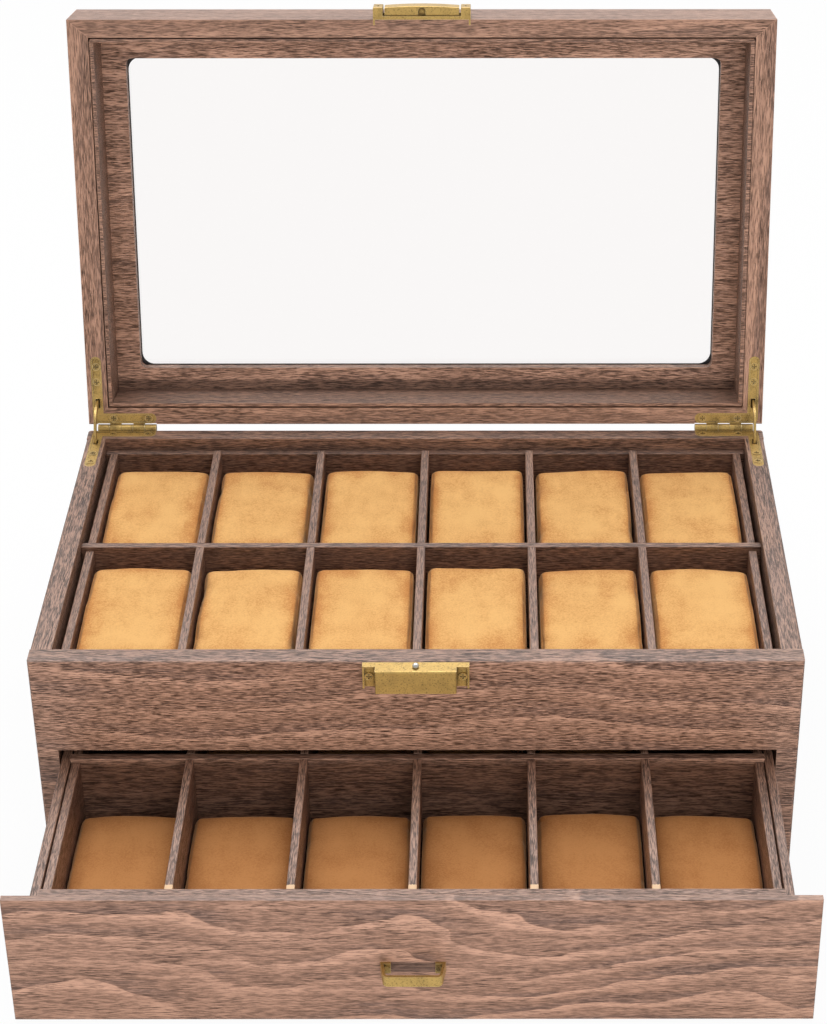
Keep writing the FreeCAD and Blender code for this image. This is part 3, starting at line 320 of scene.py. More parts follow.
class Paint:
    """A material that is being made."""

    def __init__(self, name):
        self.material = bpy.data.materials.new(name)
        self.material.use_nodes = True
        self.tree = self.material.node_tree
        self.tree.nodes.clear()

    def add(self, kind, settings=None, sockets=None, out=0):
        """Any node: its type, its settings first, then the values or links of its sockets."""
        node = self.tree.nodes.new(kind)
        for key, value in (settings or {}).items():
            setattr(node, key, value)
        for key, value in (sockets or {}).items():
            if isinstance(value, Wire):
                self.tree.links.new(value.socket, node.inputs[key])
            else:
                node.inputs[key].default_value = value
        return Wire(self, node.outputs[out])

    def place(self, turn=(0.0, 0.0, 0.0), start=(0.0, 0.0, 0.0)):
        """Object coordinates seen from a frame that is turned and starts elsewhere."""
        here = self.add("ShaderNodeTexCoord", out="Object")
        sockets = {"Vector": here, "Location": start, "Rotation": turn}
        return self.add("ShaderNodeMapping", {"vector_type": "TEXTURE"}, sockets)

    def stretch(self, vector, factors):
        """A vector times factors, one for each axis."""
        return self.add("ShaderNodeVectorMath", {"operation": "MULTIPLY"}, {0: vector, 1: factors})

    def noise(self, vector, factors, detail=2.0, roughness=0.5):
        """Noise of about 0.25 to 0.75 whose lumps are one over the factors long."""
        where = self.stretch(vector, factors)
        sockets = {"Vector": where, "Scale": 1.0, "Detail": detail, "Roughness": roughness}
        return self.add("ShaderNodeTexNoise", {}, sockets)

    def rise(self, value, low, high, start=0.0, end=1.0):
        """A smooth step of value from low to high."""
        return self.add(
            "ShaderNodeMapRange",
            {"interpolation_type": "SMOOTHSTEP"},
            {0: value, 1: low, 2: high, 3: start, 4: end},
        )

    def mix(self, share, first, second):
        """A colour between two colours."""
        ends = [c if isinstance(c, Wire) else (*c, 1.0) for c in (first, second)]
        return self.add("ShaderNodeMix", {"data_type": "RGBA"}, {0: share, 6: ends[0], 7: ends[1]}, out=2)

    def bump(self, height, strength, depth):
        """A normal raised by height."""
        return self.add("ShaderNodeBump", {}, {"Strength": strength, "Distance": depth, "Height": height})

    def arris(self, radius):
        """1 on sharp edges, 0 on flats: how far a normal rounded over the radius leaves the true one."""
        soft = self.add("ShaderNodeBevel", {"samples": 4}, {"Radius": radius})
        true = self.add("ShaderNodeNewGeometry", out="True Normal")
        dot = {"operation": "DOT_PRODUCT"}
        along = self.add("ShaderNodeVectorMath", dot, {0: soft, 1: true}, out="Value")
        return self.rise(1.0 - along, 0.004, 0.16)

    def surface(self, sockets):
        """The shader of a solid surface, joined to the material's output."""
        shader = self.add("ShaderNodeBsdfPrincipled", {}, sockets)
        self.finish(shader)
        return shader

    def finish(self, shader):
        """Join a shader to the output."""
        end = self.tree.nodes.new("ShaderNodeOutputMaterial")
        self.tree.links.new(shader.socket, end.inputs["Surface"])


def turned(grain, across):
    """The turn of a frame whose x runs with the grain and whose y runs across it on the board's face."""
    through = Vector(grain).cross(Vector(across))
    return Matrix((grain, across, through)).transposed().to_euler()


def lid_turned(grain, across):
    """The same for a board of the lid, given for the shut lid."""
    through = Vector(grain).cross(Vector(across))
    shut = Matrix((grain, across, through)).transposed()
    return (Euler((LID_TILT, 0.0, 0.0)).to_matrix() @ shut).to_euler()


X, Y, Z = (1.0, 0.0, 0.0), (0.0, 1.0, 0.0), (0.0, 0.0, 1.0)


def walnut(
    name, turn, seed, look, figure=0.5, spacing=0.016, swing=1.0, fibre=1.0, light=0.0, raw_from=None
):
    """Wood wrap. Along the grain run wandering rings, fine fibres and rows of short dark pores.

    Ring = the fraction of (distance across / spacing + slow noise times the swing). It goes slowly from grey
    to pale and drops back at once, as growth rings do. Fibres and pores darken it. Noise factors are lumps per
    metre along, across and through the board. The wood is bare where Y lies below raw_from.
    """
    paint = Paint(name)
    at = paint.place(turn, (0.731 * seed, 0.217 * seed, 0.113 * seed))
    across = paint.add("ShaderNodeSeparateXYZ", {}, {0: at}, out="Y")
    drift = paint.noise(at, (6.5, 8.0, 8.0), 1.0) - 0.5
    wander = paint.noise(at, (27.0, 60.0, 60.0), 2.0) - 0.5
    phase = across / spacing + drift * (6.0 * swing) + wander * (0.85 * swing)
    ring = paint.add("ShaderNodeMath", {"operation": "FRACT"}, {0: phase})
    climb = paint.rise(ring, 0.0, 0.8) * 0.55 + paint.rise(ring, 0.66, 0.92) * 0.45
    band = climb * paint.rise(ring, 0.955, 1.0, 1.0, 0.0)
    faint = paint.rise(paint.noise(at, (7.0, 60.0, 60.0), 1.0), 0.36, 0.62, 0.25, 1.0)
    streak = paint.noise(at, (9.0, 320.0, 320.0), 3.0, 0.6) - 0.5
    hair = paint.noise(at, (190.0, 2300.0, 2300.0), 2.0, 0.7)
    dash = paint.noise(at, (140.0, 1600.0, 1600.0), 1.0)
    crowd = paint.noise(at, (24.0, 170.0, 170.0), 2.0) - band * 0.05
    pore = paint.rise(dash, 0.48, 0.62) * paint.rise(crowd, 0.36, 0.58)
    # edge lightens the arrises and thins their pores: partly wear, partly a painted highlight along the edges
    edge = paint.arris(0.0007)
    # light lifts or lowers the whole board's tone; the tables use it as painted light and painted shade
    pallor = 0.42 + light + (band - 0.42) * faint * figure + streak * 1.2 + edge * 0.3
    low = paint.mix(paint.rise(pallor, -0.05, 0.5), look.deep, look.ground)
    wood = paint.mix(paint.rise(pallor, 0.38, 1.0), low, look.pale)
    dark = paint.rise(hair, 0.47, 0.61) * (0.78 * fibre) + pore * (0.70 * fibre)
    shine = paint.rise(hair, 0.50, 0.37) * (0.70 * fibre)
    colour = paint.mix(dark * (1.0 - edge * 0.6), wood, look.pore)
    colour = paint.mix(shine, colour, look.pale)
    if raw_from is not None:
        place = paint.add("ShaderNodeSeparateXYZ", {}, {0: paint.place()}, out="Y")
        bare = paint.rise(place + (dash - 0.5) * 0.0012, raw_from, raw_from + 0.0004, 1.0, 0.0)
        colour = paint.mix(bare, colour, look.raw)
    height = 0.5 - dark * 0.9 + streak * 0.4
    paint.surface(
        {
            "Base Color": colour,
            "Roughness": look.roughness + dark * 0.16 - edge * 0.06,
            "Specular IOR Level": 0.85,
            "Normal": paint.bump(height, 0.45, 0.00018),
        }
    )
    return paint.material


def old_brass(name, look, tarnish=0.5, fine=1.0):
    """Aged brass: speckled, dark in recesses and rubbed bright on its edges."""
    paint = Paint(name)
    at = paint.place()
    speck = paint.noise(at, (1500.0 * fine,) * 3, 3.0, 0.7)
    cloud = paint.noise(at, (160.0 * fine,) * 3, 3.0)
    brushed = paint.noise(at, (240.0, 2600.0, 2600.0), 1.0) - 0.5
    near = {"samples": 6, "only_local": True}
    open_sky = paint.add("ShaderNodeAmbientOcclusion", near, {"Distance": 0.0022}, out="AO")
    sunk = paint.rise(open_sky, 0.35, 0.92, 1.0, 0.0)
    edge = paint.arris(0.00035)
    spots = paint.rise(speck, 0.50, 0.70) * 0.55 + paint.rise(cloud, 0.45, 0.70) * (0.5 * tarnish)
    dark = spots + sunk * 0.85
    colour = paint.mix(dark, look.brass, look.patina)
    rubbed = edge * (1.0 - sunk * 0.7) * (0.55 + paint.rise(cloud, 0.35, 0.6) * 0.45)
    colour = paint.mix(rubbed, colour, look.bright)
    paint.surface(
        {
            "Base Color": colour,
            "Metallic": 0.55 - dark * 0.2 + rubbed * 0.3,
            "Roughness": 0.36 + dark * 0.26 - rubbed * 0.10,
            "Normal": paint.bump(speck * 0.6 + brushed * 0.5, 0.35, 0.00012),
        }
    )
    return paint.material


def white_steel(name):
    """Plated steel, brushed, a little cloudy."""
    paint = Paint(name)
    at = paint.place()
    cloud = paint.noise(at, (700.0, 700.0, 700.0), 3.0)
    colour = paint.mix(cloud, linear(206, 203, 196), linear(246, 244, 238))
    paint.surface(
        {
            "Base Color": colour,
            "Metallic": 1.0,
            "Roughness": 0.22 + cloud * 0.16,
            "Normal": paint.bump(cloud, 0.2, 0.00008),
        }
    )
    return paint.material


def suede(name, crown, flank):
    """Napped suede. The nap's direction changes in soft clouds, and the flanks are darker than the crown, as
    painted shade.

    The maps shoulder and seam are written on each cushion by settle, so the shading stays on the cover.
    """
    paint = Paint(name)
    at = paint.place()
    cloud = paint.noise(at, (52.0, 60.0, 52.0), 3.0, 0.55)
    sweep = paint.noise(at, (130.0, 45.0, 90.0), 2.0)
    grain = paint.noise(at, (1300.0, 1300.0, 1300.0), 2.0, 0.7)
    fuzz = paint.noise(at, (3200.0, 3200.0, 3200.0), 1.0)
    shoulder_shade = paint.add("ShaderNodeAttribute", {"attribute_name": "shoulder_shade"}, out="Fac")
    seam = paint.add("ShaderNodeAttribute", {"attribute_name": "seam"}, out="Fac")
    groove = paint.rise(seam, 0.0, 0.0009, 1.0, 0.0)
    pull = paint.rise(seam, 0.0006, 0.0040, 1.0, 0.0)
    # Nap clouds and grain, plus the map of painted shade, which darkens the flanks and the foot
    shade = (
        0.16
        + shoulder_shade * 0.75
        + (cloud - 0.5) * 1.3
        + (sweep - 0.5) * 0.8
        + (grain - 0.5) * 1.5
        + pull * 0.12
    )
    colour = paint.mix(paint.rise(shade, -0.2, 1.2), crown, flank)
    colour = paint.mix(groove * 0.75, colour, linear(120, 74, 38))
    paint.surface(
        {
            "Base Color": colour,
            "Roughness": 0.92 - (fuzz - 0.5) * 0.12,
            "Specular IOR Level": 0.18,
            "Sheen Weight": 0.35,
            "Sheen Roughness": 0.45,
            "Sheen Tint": (*linear(255, 226, 180), 1.0),
            "Normal": paint.bump(grain * 0.8 + fuzz * 0.5 - groove * 2.0 + cloud * 1.2, 0.5, 0.00028),
        }
    )
    return paint.material


def clear_glass(name):
    """Clear plain glass with the faintest smears, which lets lamp light through."""
    paint = Paint(name)
    smear = paint.noise(paint.place(), (18.0, 40.0, 30.0), 3.0)
    glass = paint.add(
        "ShaderNodeBsdfPrincipled",
        {},
        {
            "Base Color": (0.965, 0.946, 0.938, 1.0),
            "Roughness": paint.rise(smear, 0.5, 0.8, 0.0, 0.03),
            "IOR": 1.45,
            "Transmission Weight": 1.0,
        },
    )
    through = paint.add("ShaderNodeBsdfTransparent", {}, {"Color": (0.93, 0.94, 0.935, 1.0)})
    shadow = paint.add("ShaderNodeLightPath", out="Is Shadow Ray")
    paint.finish(paint.add("ShaderNodeMixShader", {}, {0: shadow, 1: glass, 2: through}))
    return paint.material


def black_seal(name):
    """Black sealant, slightly uneven."""
    paint = Paint(name)
    lump = paint.noise(paint.place(), (420.0, 420.0, 420.0), 3.0)
    colour = paint.mix(lump, linear(20, 20, 22), linear(52, 52, 54))
    normal = paint.bump(lump, 0.4, 0.0003)
    paint.surface({"Base Color": colour, "Roughness": 0.42 + lump * 0.3, "Normal": normal})
    return paint.material


# Pieces


def dress(node, material):
    """Give a CAD node a material."""
    mesh = frame["nodes"][node].data
    mesh.materials.clear()
    mesh.materials.append(material)


def adopt(piece, nodes, body):
    """Let a piece stand for nodes and ride on a body."""
    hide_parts(*nodes)
    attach(piece, body)


def merged_copy(name, node):
    """A new object with a node's mesh, its loose corners merged and its flat faces joined."""
    mesh = frame["nodes"][node].data.copy()
    mesh.name = name
    mesh.materials.clear()
    work = bmesh.new()
    work.from_mesh(mesh)
    bmesh.ops.remove_doubles(work, verts=work.verts, dist=2e-6)
    bmesh.ops.dissolve_limit(work, angle_limit=0.01, verts=work.verts, edges=work.edges)
    work.to_mesh(mesh)
    work.free()
    if "custom_normal" in mesh.attributes:
        mesh.attributes.remove(mesh.attributes["custom_normal"])
    piece = bpy.data.objects.new(name, mesh)
    bpy.context.scene.collection.objects.link(piece)
    return piece


def softened(node, material, width):
    """A board that stands for its node, with its sharp arrises rounded."""
    piece = merged_copy(node + ".board", node)
    piece.data.shade_smooth()
    piece.data.set_sharp_from_angle(angle=math.radians(28))
    round_over = piece.modifiers.new("arris", "BEVEL")
    round_over.width = width
    round_over.segments = 2
    round_over.limit_method = "ANGLE"
    round_over.angle_limit = math.radians(40)
    round_over.harden_normals = True
    piece.data.materials.append(material)
    adopt(piece, [node], frame["nodes"][node]["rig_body"])
    return piece


# For each board: the turn of its grain, its seed, and where it departs from the plain wrap
CASE_GRAIN = {
    "case_front": (turned(X, Z), 1, {"figure": 0.9, "spacing": 0.016, "swing": 0.45}),
    "case_left_side": (turned(Y, Z), 2, {"spacing": 0.016, "swing": 0.6}),
    "case_right_side": (turned(Y, Z), 3, {"spacing": 0.018, "swing": 0.6}),
    "case_back": (turned(X, Z), 4, {"spacing": 0.019}),
    "case_bottom": (turned(X, Y), 5, {}),
    "tray_floor": (turned(X, Y), 6, {}),
}
# The light column darkens the strips and dividers: painted shade of the slots
INSERT_GRAIN = {
    "tray_side_strips": (turned(Y, Z), 7, {"figure": 0.3, "fibre": 0.8, "light": -0.06}),
    "tray_end_strips": (turned(X, Z), 8, {"figure": 0.3, "light": -0.16}),
    "tray_mid_divider": (turned(X, Z), 9, {"figure": 0.3, "light": -0.14}),
    "tray_dividers": (turned(Y, Z), 10, {"figure": 0.3, "fibre": 0.8, "light": -0.06}),
}
# The light column is painted light on the rails and window board, and painted shade on the liner
LID_GRAIN = {
    "lid_front_rail": (lid_turned(X, Y), 11, {"figure": 0.5, "swing": 0.5, "fibre": 0.75, "light": 0.10}),
    "lid_back_rail": (lid_turned(X, Y), 12, {"figure": 0.5, "swing": 0.5, "fibre": 0.8, "light": 0.12}),
    "lid_left_rail": (lid_turned(Y, X), 13, {"figure": 0.5, "swing": 0.5, "fibre": 0.75, "light": 0.08}),
    "lid_right_rail": (lid_turned(Y, X), 14, {"figure": 0.5, "swing": 0.5, "fibre": 0.75, "light": 0.08}),
    "lid_window_board": (lid_turned(X, Y), 15, {"figure": 0.7, "light": 0.10}),
    "lid_liner": (lid_turned(X, Y), 16, {"figure": 0.2, "light": -0.18}),
}
DRAWER_GRAIN = {
    "drawer_front": (
        turned(X, Z),
        17,
        {"figure": 1.0, "spacing": 0.016, "swing": 1.2, "fibre": 0.62, "light": 0.10},
    ),
    "drawer_box_front": (turned(X, Z), 18, {"figure": 0.3}),
    "drawer_left_side": (turned(Y, Z), 19, {"figure": 0.3}),
    "drawer_right_side": (turned(Y, Z), 20, {"figure": 0.3}),
    "drawer_back": (turned(X, Z), 21, {"figure": 0.3}),
    "drawer_bottom": (turned(X, Y), 22, {"figure": 0.3}),
    "drawer_side_strips": (turned(Y, Z), 23, {"figure": 0.3}),
    # The mid divider's light is painted shade
    "drawer_mid_divider": (turned(X, Z), 24, {"figure": 0.4, "light": -0.04}),
    "drawer_dividers": (turned(Y, Z), 25, {"figure": 0.3}),
}


def lay_boards(table, look):
    """Soften and paint every board of a table."""
    for node, (turn, seed, options) in table.items():
        softened(node, walnut(node + "_grain", turn, seed, look, **options), look.arris)


class WATCHBOX_OT_case(bpy.types.Operator):
    """Boards of the case."""

    bl_idname = "watch_box.case"
    bl_label = "Case boards"

    def execute(self, context):
        lay_boards(CASE_GRAIN, context.scene.watch_box.wood)
        return {"FINISHED"}


class WATCHBOX_OT_insert(bpy.types.Operator):
    """Strips and dividers of the tray."""

    bl_idname = "watch_box.insert"
    bl_label = "Tray insert"

    def execute(self, context):
        lay_boards(INSERT_GRAIN, context.scene.watch_box.wood)
        return {"FINISHED"}


class WATCHBOX_OT_lid(bpy.types.Operator):
    """Rails, window board and liner of the lid."""

    bl_idname = "watch_box.lid"
    bl_label = "Lid boards"

    def execute(self, context):
        lay_boards(LID_GRAIN, context.scene.watch_box.wood)
        return {"FINISHED"}


class WATCHBOX_OT_drawer(bpy.types.Operator):
    """Boards, strips and dividers of the drawer; the dividers' front ends are raw."""

    bl_idname = "watch_box.drawer"
    bl_label = "Drawer boards"

    def execute(self, context):
        look = context.scene.watch_box.wood
        table = dict(DRAWER_GRAIN)
        turn, seed, options = table["drawer_dividers"]
        raw_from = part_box("drawer_dividers")[0].y + RAW_END
        table["drawer_dividers"] = (turn, seed, {**options, "raw_from": raw_from})
        lay_boards(table, look)
        return {"FINISHED"}


class WATCHBOX_OT_glass(bpy.types.Operator):
    """Pane and sealant of the lid."""

    bl_idname = "watch_box.glass"
    bl_label = "Glass"

    def execute(self, context):
        dress("lid_glass", clear_glass("clear_glass_pane"))
        dress("lid_glass_seal", black_seal("black_sealant"))
        return {"FINISHED"}


class WATCHBOX_OT_brass(bpy.types.Operator):
    """Hinges, stays, latch, screws, pull and rivets."""

    bl_idname = "watch_box.brass"
    bl_label = "Brass fittings"

    def execute(self, context):
        look = context.scene.watch_box.metal
        leaf = old_brass("hinge_brass", look, 0.8)
        for side in ("left", "right"):
            dress("hinge_case_leaf_" + side, leaf)
            dress("hinge_lid_leaf_" + side, leaf)
        dress("hinge_pins", leaf)
        dress("lid_stays", old_brass("stay_brass", look, 0.6))
        latch = old_brass("latch_brass", look, 0.4, 0.8)
        for node in ("latch_base", "latch_frame", "latch_button"):
            dress(node, latch)
        screw = old_brass("screw_brass", look, 1.0)
        for node in ("case_screws", "lid_screws"):
            dress(node, screw)
        dress("drawer_handle", old_brass("pull_brass", look, 0.35, 0.8))
        dress("drawer_handle_rivets", screw)
        dress("latch_stud", white_steel("stud_steel"))
        return {"FINISHED"}


# Cushions


def evaluated_mesh(piece):
    """The piece's mesh with its modifiers applied, as a new mesh."""
    return bpy.data.meshes.new_from_object(piece.evaluated_get(bpy.context.evaluated_depsgraph_get()))


def points_of(mesh):
    """All corners of a mesh as rows of an array."""
    points = np.empty(len(mesh.vertices) * 3, np.float32)
    mesh.vertices.foreach_get("co", points)
    return points.reshape(-1, 3).astype(float)


def bake_modifiers(piece):
    """Apply a piece's modifiers for good."""
    mesh = evaluated_mesh(piece)
    piece.modifiers.clear()
    old = piece.data
    piece.data = mesh
    bpy.data.meshes.remove(old)


def cushion_blank(name, node, column, look):
    """One cushion of a node, a little smaller than its solid, with an even mesh.

    Where a node holds a whole row, the column says which of its cushions is kept.
    """
    piece = merged_copy(name, node)
    low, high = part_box(node)
    if column is not None:
        width = (high.x - low.x) / CUSHIONS_IN_ROW
        left = low.x + width * column
        work = bmesh.new()
        work.from_mesh(piece.data)
        others = [v for v in work.verts if not left < v.co.x < left + width]
        bmesh.ops.delete(work, geom=others, context="VERTS")
        work.to_mesh(piece.data)
        work.free()
    points = points_of(piece.data)
    low, high = points.min(0), points.max(0)
    centre = np.array([(low[0] + high[0]) / 2, (low[1] + high[1]) / 2, low[2]])
    points = centre + (points - centre) * BLANK_SHARE
    piece.data.vertices.foreach_set("co", points.astype(np.float32).ravel())
    even = piece.modifiers.new("even", "REMESH")
    even.mode = "VOXEL"
    even.voxel_size = look.voxel
    calm = piece.modifiers.new("calm", "SMOOTH")
    calm.factor = 0.5
    calm.iterations = 1
    bake_modifiers(piece)
    return piece, low, high


def stuff(piece, look):
    """Fill a blank by cloth simulation under pressure.

    The foot is pinned, so it stays flat. A point moves by its simulated step, cut short at the swell.
    """
    start = points_of(piece.data)
    foot = piece.vertex_groups.new(name="foot")
    foot.add([int(n) for n in np.flatnonzero(start[:, 2] < start[:, 2].min() + 0.001)], 1.0, "REPLACE")
    cloth = piece.modifiers.new("cover", "CLOTH")
    rules = cloth.settings
    rules.quality = 5
    rules.mass = 0.05
    rules.tension_stiffness = 8.0
    rules.compression_stiffness = 8.0
    rules.bending_stiffness = 0.02
    rules.air_damping = 2.0
    rules.use_pressure = True
    rules.uniform_pressure_force = look.pressure
    rules.shrink_min = -0.02
    rules.effector_weights.gravity = 0.0
    rules.vertex_group_mass = "foot"
    cloth.collision_settings.use_collision = False
    cloth.point_cache.frame_start = 1
    cloth.point_cache.frame_end = FILLING_FRAMES
    scene = bpy.context.scene
    for number in range(1, FILLING_FRAMES + 1):
        scene.frame_set(number)
    filled = evaluated_mesh(piece)
    moved = points_of(filled)
    bpy.data.meshes.remove(filled)
    piece.modifiers.clear()
    scene.frame_set(1)
    step = moved - start
    far = np.linalg.norm(step, axis=1, keepdims=True)
    points = start + step * np.minimum(1.0, look.swell / np.maximum(far, 1e-9))
    piece.data.vertices.foreach_set("co", points.astype(np.float32).ravel())
    piece.vertex_groups.clear()


def settle(piece, low, high, seed):
    """Rumple, lean and shift a cushion a little, inside its solid's box, and write its maps.

    Every point is moved towards the box's faces: its gap to a face becomes gap x (1 - 0.62 x share^4), where
    share is 0 at the middle and 1 on the face, so the rolled edges are tight. Rumple = sum of three slow waves
    over the top, fading to nothing at the foot. The map of painted shade rises from 0 on the crown towards 1
    on the flanks and the foot.
    The map seam is the distance from the seams of the two side panels, which end above the foot.
    """
    rng = np.random.default_rng(seed)
    points = points_of(piece.data)
    centre = (low + high) / 2
    half = (high - low) / 2
    place = np.clip((points - centre) / half, -1, 1)
    lift = np.clip((place[:, 2] + 1) / 2, 0, 1)
    gap = 1 - np.abs(place)
    tight = gap * (1 - 0.62 * np.abs(place) ** 4)
    tight[:, 2] = np.where(place[:, 2] > 0, tight[:, 2], gap[:, 2])
    place = np.sign(place) * (1 - tight)
    points = centre + place * half
    waves = np.zeros(len(points))
    for wave in range(3):
        angle = rng.uniform(0, math.tau)
        pace = rng.uniform(1.4, 3.2)
        phase = rng.uniform(0, math.tau)
        along = place[:, 0] * math.cos(angle) + place[:, 1] * math.sin(angle)
        waves += np.sin(pace * along * 1.6 + phase)
    points[:, 2] += RUMPLE * waves * lift**2
    lean_x, lean_y = rng.uniform(-0.0005, 0.0005), rng.uniform(-0.0009, 0.0009)
    points[:, 2] += (lean_x * place[:, 0] + lean_y * place[:, 1]) * lift**2
    points[:, 1] += rng.uniform(-0.0012, 0.0004) * lift
    points[:, 2] = np.minimum(points[:, 2], high[2])
    inset = 0.00012
    points = np.clip(points, low + (inset, 0.0, 0.0), high - (inset, 0.0, 0.0))
    piece.data.vertices.foreach_set("co", points.astype(np.float32).ravel())
    # Painted shade: the map darkens the cover towards its sides, front and back, and most towards the foot
    reach = np.maximum(np.abs(place[:, 0]) ** 4, np.abs(place[:, 1]) ** 6)
    shoulder_shade = np.clip(reach * 0.85 + (1 - lift) * 0.6, 0, 1)
    seam = np.abs(half[0] * (1 - np.abs(place[:, 0])) - 0.0012) + np.where(lift > 0.2, 0, 0.01)
    for name, values in (("shoulder_shade", shoulder_shade), ("seam", seam)):
        mark = piece.data.attributes.new(name, "FLOAT", "POINT")
        mark.data.foreach_set("value", values.astype(np.float32))


def cushion(name, node, column, material, look, seed):
    """One finished cushion."""
    piece, low, high = cushion_blank(name, node, column, look)
    stuff(piece, look)
    settle(piece, low, high, seed)
    finer = piece.modifiers.new("finer", "SUBSURF")
    finer.levels = finer.render_levels = 1
    bake_modifiers(piece)
    piece.data.shade_smooth()
    piece.data.materials.append(material)
    adopt(piece, [node], frame["nodes"][node]["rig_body"])
    return piece


class WATCHBOX_OT_tray_cushions(bpy.types.Operator):
    """Twelve cushions of the tray."""

    bl_idname = "watch_box.tray_cushions"
    bl_label = "Tray cushions"

    def execute(self, context):
        look = context.scene.watch_box.cushions
        cover = suede("tray_suede", look.crown, look.flank)
        for n in range(1, 2 * CUSHIONS_IN_ROW + 1):
            cushion("tray_pillow_%d" % n, "tray_cushion_%d" % n, None, cover, look, n)
        return {"FINISHED"}


class WATCHBOX_OT_drawer_cushions(bpy.types.Operator):
    """Six cushions of the drawer's front row and six of its rear row."""

    bl_idname = "watch_box.drawer_cushions"
    bl_label = "Drawer cushions"

    def execute(self, context):
        look = context.scene.watch_box.cushions
        # The drawer's cover is a darker copy of the tray's suede: painted shade
        cover = suede("drawer_shaded_suede", look.drawer_shaded_crown, look.drawer_shaded_flank)
        for n in range(1, CUSHIONS_IN_ROW + 1):
            cushion("drawer_pillow_%d" % n, "drawer_cushion_%d" % n, None, cover, look, 20 + n)
            cushion("drawer_rear_pillow_%d" % n, "drawer_cushions_rear", n - 1, cover, look, 40 + n)
        return {"FINISHED"}


# Stage


def soft_lamp(name, place, aim, size, power, in_gloss=True):
    """A large lamp at a place, turned to a point, which gloss shows or not."""
    lamp = bpy.data.lights.new(name, "AREA")
    lamp.shape = "RECTANGLE"
    lamp.size, lamp.size_y = size
    lamp.energy = power
    item = bpy.data.objects.new(name, lamp)
    item.location = place
    item.rotation_euler = (Vector(aim) - Vector(place)).to_track_quat("-Z", "Y").to_euler()
    item.visible_glossy = in_gloss
    item.visible_transmission = in_gloss
    bpy.context.scene.collection.objects.link(item)


def pale_floor(name):
    """A floor that is white to the eye and through glass and dimmer in gloss, and keeps a faint shadow."""
    paint = Paint(name)
    speck = paint.noise(paint.place(), (3.0, 3.0, 3.0), 2.0)
    grey = paint.mix(speck, (0.86, 0.86, 0.86), (0.88, 0.88, 0.88))
    matt = paint.add("ShaderNodeBsdfDiffuse", {}, {"Color": grey})
    seen = paint.add("ShaderNodeLightPath", out="Is Camera Ray")
    glint = paint.add("ShaderNodeLightPath", out="Is Glossy Ray")
    through = paint.add("ShaderNodeLightPath", out="Is Transmission Ray")
    level = 1.0 - glint * (1.0 - through) * (1.0 - FRONT_GLOSS)
    glow = paint.add("ShaderNodeEmission", {}, {"Color": (1.0, 1.0, 1.0, 1.0), "Strength": level})
    share = seen.math("MAXIMUM", seen * 0.95, seen.math("MAXIMUM", glint, through))
    paint.finish(paint.add("ShaderNodeMixShader", {}, {0: share, 1: matt, 2: glow}))
    return paint.material


def white_sky(strength):
    """A world that is white to the eye and through glass and lights the object at a strength.

    Gloss shows white from behind the object and a dim room from its front.
    """
    world = bpy.data.worlds.new("white_sky")
    world.use_nodes = True
    tree = world.node_tree
    tree.nodes.clear()

    def add(kind, operation, *inputs):
        """A node with its operation, and its inputs in order as links or values."""
        node = tree.nodes.new(kind)
        if operation:
            node.operation = operation
        for socket, value in zip(node.inputs, inputs):
            if isinstance(value, bpy.types.NodeSocket):
                tree.links.new(value, socket)
            else:
                socket.default_value = value
        return node

    path = tree.nodes.new("ShaderNodeLightPath")
    way = add("ShaderNodeSeparateXYZ", None, tree.nodes.new("ShaderNodeTexCoord").outputs["Generated"])
    behind = add("ShaderNodeMapRange", None, way.outputs["Y"], 0.0, 0.7, FRONT_GLOSS, 1.0)
    gloss = add("ShaderNodeMath", "MULTIPLY", path.outputs["Is Glossy Ray"], behind.outputs[0])
    seen_directly, seen_through = path.outputs["Is Camera Ray"], path.outputs["Is Transmission Ray"]
    clear = add("ShaderNodeMath", "MAXIMUM", seen_directly, seen_through)
    seen = add("ShaderNodeMath", "MAXIMUM", gloss.outputs[0], clear.outputs[0])
    level = add("ShaderNodeMath", "MAXIMUM", seen.outputs[0], strength)
    sky = add("ShaderNodeBackground", None, (1.0, 1.0, 1.0, 1.0), level.outputs[0])
    add("ShaderNodeOutputWorld", None, sky.outputs[0])
    bpy.context.scene.world = world


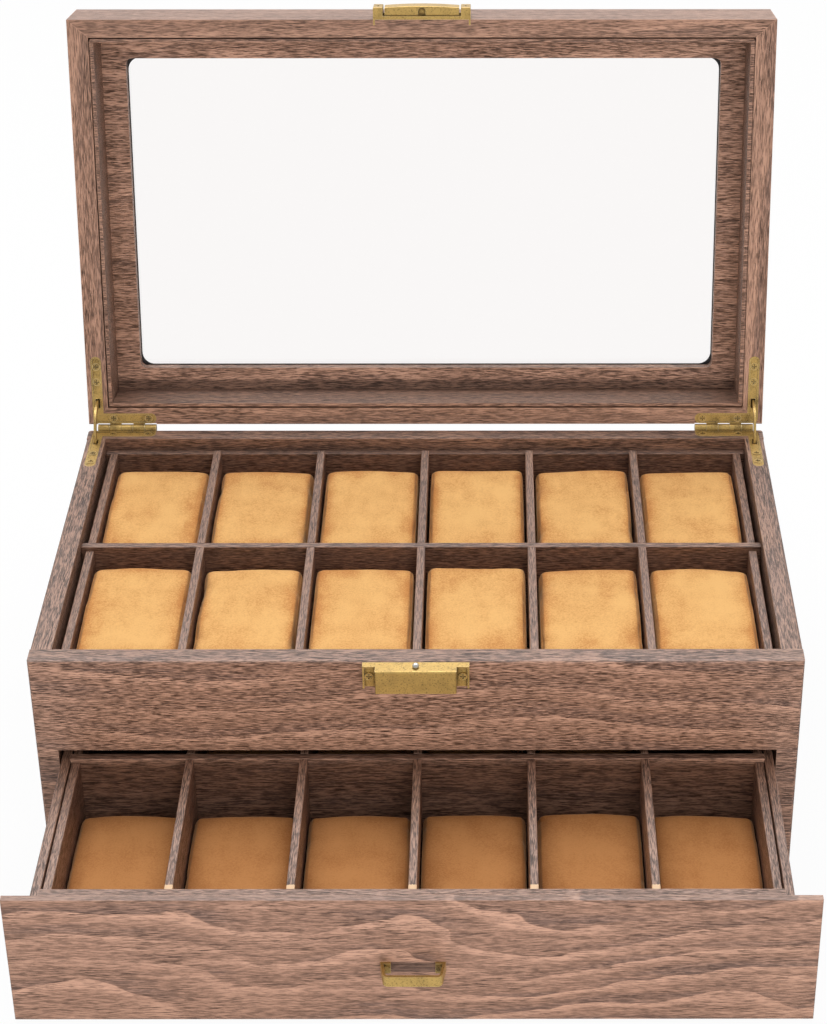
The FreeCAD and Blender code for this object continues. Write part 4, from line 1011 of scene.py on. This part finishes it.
class WATCHBOX_OT_stage(bpy.types.Operator):
    """Floor, light and camera."""

    bl_idname = "watch_box.stage"
    bl_label = "Stage"

    def execute(self, context):
        look = context.scene.watch_box.stage
        scene = context.scene
        corners = [
            (x * FLOOR_HALF, y * FLOOR_HALF, -FLOOR_DROP) for x, y in ((-1, -1), (1, -1), (1, 1), (-1, 1))
        ]
        mesh = bpy.data.meshes.new("floor")
        mesh.from_pydata(corners, [], [(0, 1, 2, 3)])
        floor = bpy.data.objects.new("floor", mesh)
        scene.collection.objects.link(floor)
        mesh.materials.append(pale_floor("pale_floor"))
        white_sky(look.sky)
        soft_lamp("overhead_lamp", (-0.1, 0.6, 1.5), (0.0, -0.02, 0.1), (1.8, 1.2), look.overhead)
        soft_lamp("front_lamp", (0.1, -2.0, 0.10), (0.0, -0.1, 0.10), (4.2, 0.16), look.front, False)
        soft_lamp("fill_lamp", (0.3, -1.5, 1.2), (0.0, 0.0, 0.15), (1.2, 0.8), look.fill, False)
        camera = bpy.data.cameras.new("camera")
        camera.lens = look.lens
        camera.shift_x = CAMERA_SHIFT
        camera.clip_start = 0.05
        camera.clip_end = 20.0
        eye = bpy.data.objects.new("camera", camera)
        eye.location = CAMERA_PLACE
        eye.rotation_euler = (math.radians(90 - CAMERA_BELOW_LEVEL), 0.0, math.radians(CAMERA_ASIDE))
        scene.collection.objects.link(eye)
        scene.camera = eye
        scene.view_settings.view_transform = "Standard"
        return {"FINISHED"}


class WATCHBOX_PT_panel(bpy.types.Panel):
    """Steps and settings of the watch box."""

    bl_idname = "WATCHBOX_PT_panel"
    bl_label = "Watch Box"
    bl_space_type = "VIEW_3D"
    bl_region_type = "UI"
    bl_category = "Watch Box"

    def draw(self, context):
        box = context.scene.watch_box
        for step in STEPS:
            self.layout.operator(step.bl_idname)
        for look in (box.wood, box.metal, box.cushions, box.stage):
            column = self.layout.column()
            for name in look.__annotations__:
                column.prop(look, name)


STEPS = (
    WATCHBOX_OT_case,
    WATCHBOX_OT_insert,
    WATCHBOX_OT_lid,
    WATCHBOX_OT_drawer,
    WATCHBOX_OT_glass,
    WATCHBOX_OT_brass,
    WATCHBOX_OT_tray_cushions,
    WATCHBOX_OT_drawer_cushions,
    WATCHBOX_OT_stage,
)
CLASSES = (WoodLook, MetalLook, CushionLook, StageLook, WatchBox, *STEPS, WATCHBOX_PT_panel)


def register():
    """Add the classes and the scene's settings."""
    for item in CLASSES:
        bpy.utils.register_class(item)
    bpy.types.Scene.watch_box = bpy.props.PointerProperty(type=WatchBox)


def unregister():
    """Take them out again."""
    del bpy.types.Scene.watch_box
    for item in reversed(CLASSES):
        bpy.utils.unregister_class(item)


def main():
    """Run every step."""
    register()
    bpy.ops.watch_box.case()
    bpy.ops.watch_box.insert()
    bpy.ops.watch_box.lid()
    bpy.ops.watch_box.drawer()
    bpy.ops.watch_box.glass()
    bpy.ops.watch_box.brass()
    bpy.ops.watch_box.tray_cushions()
    bpy.ops.watch_box.drawer_cushions()
    bpy.ops.watch_box.stage()


if __name__ == "__main__":
    main()
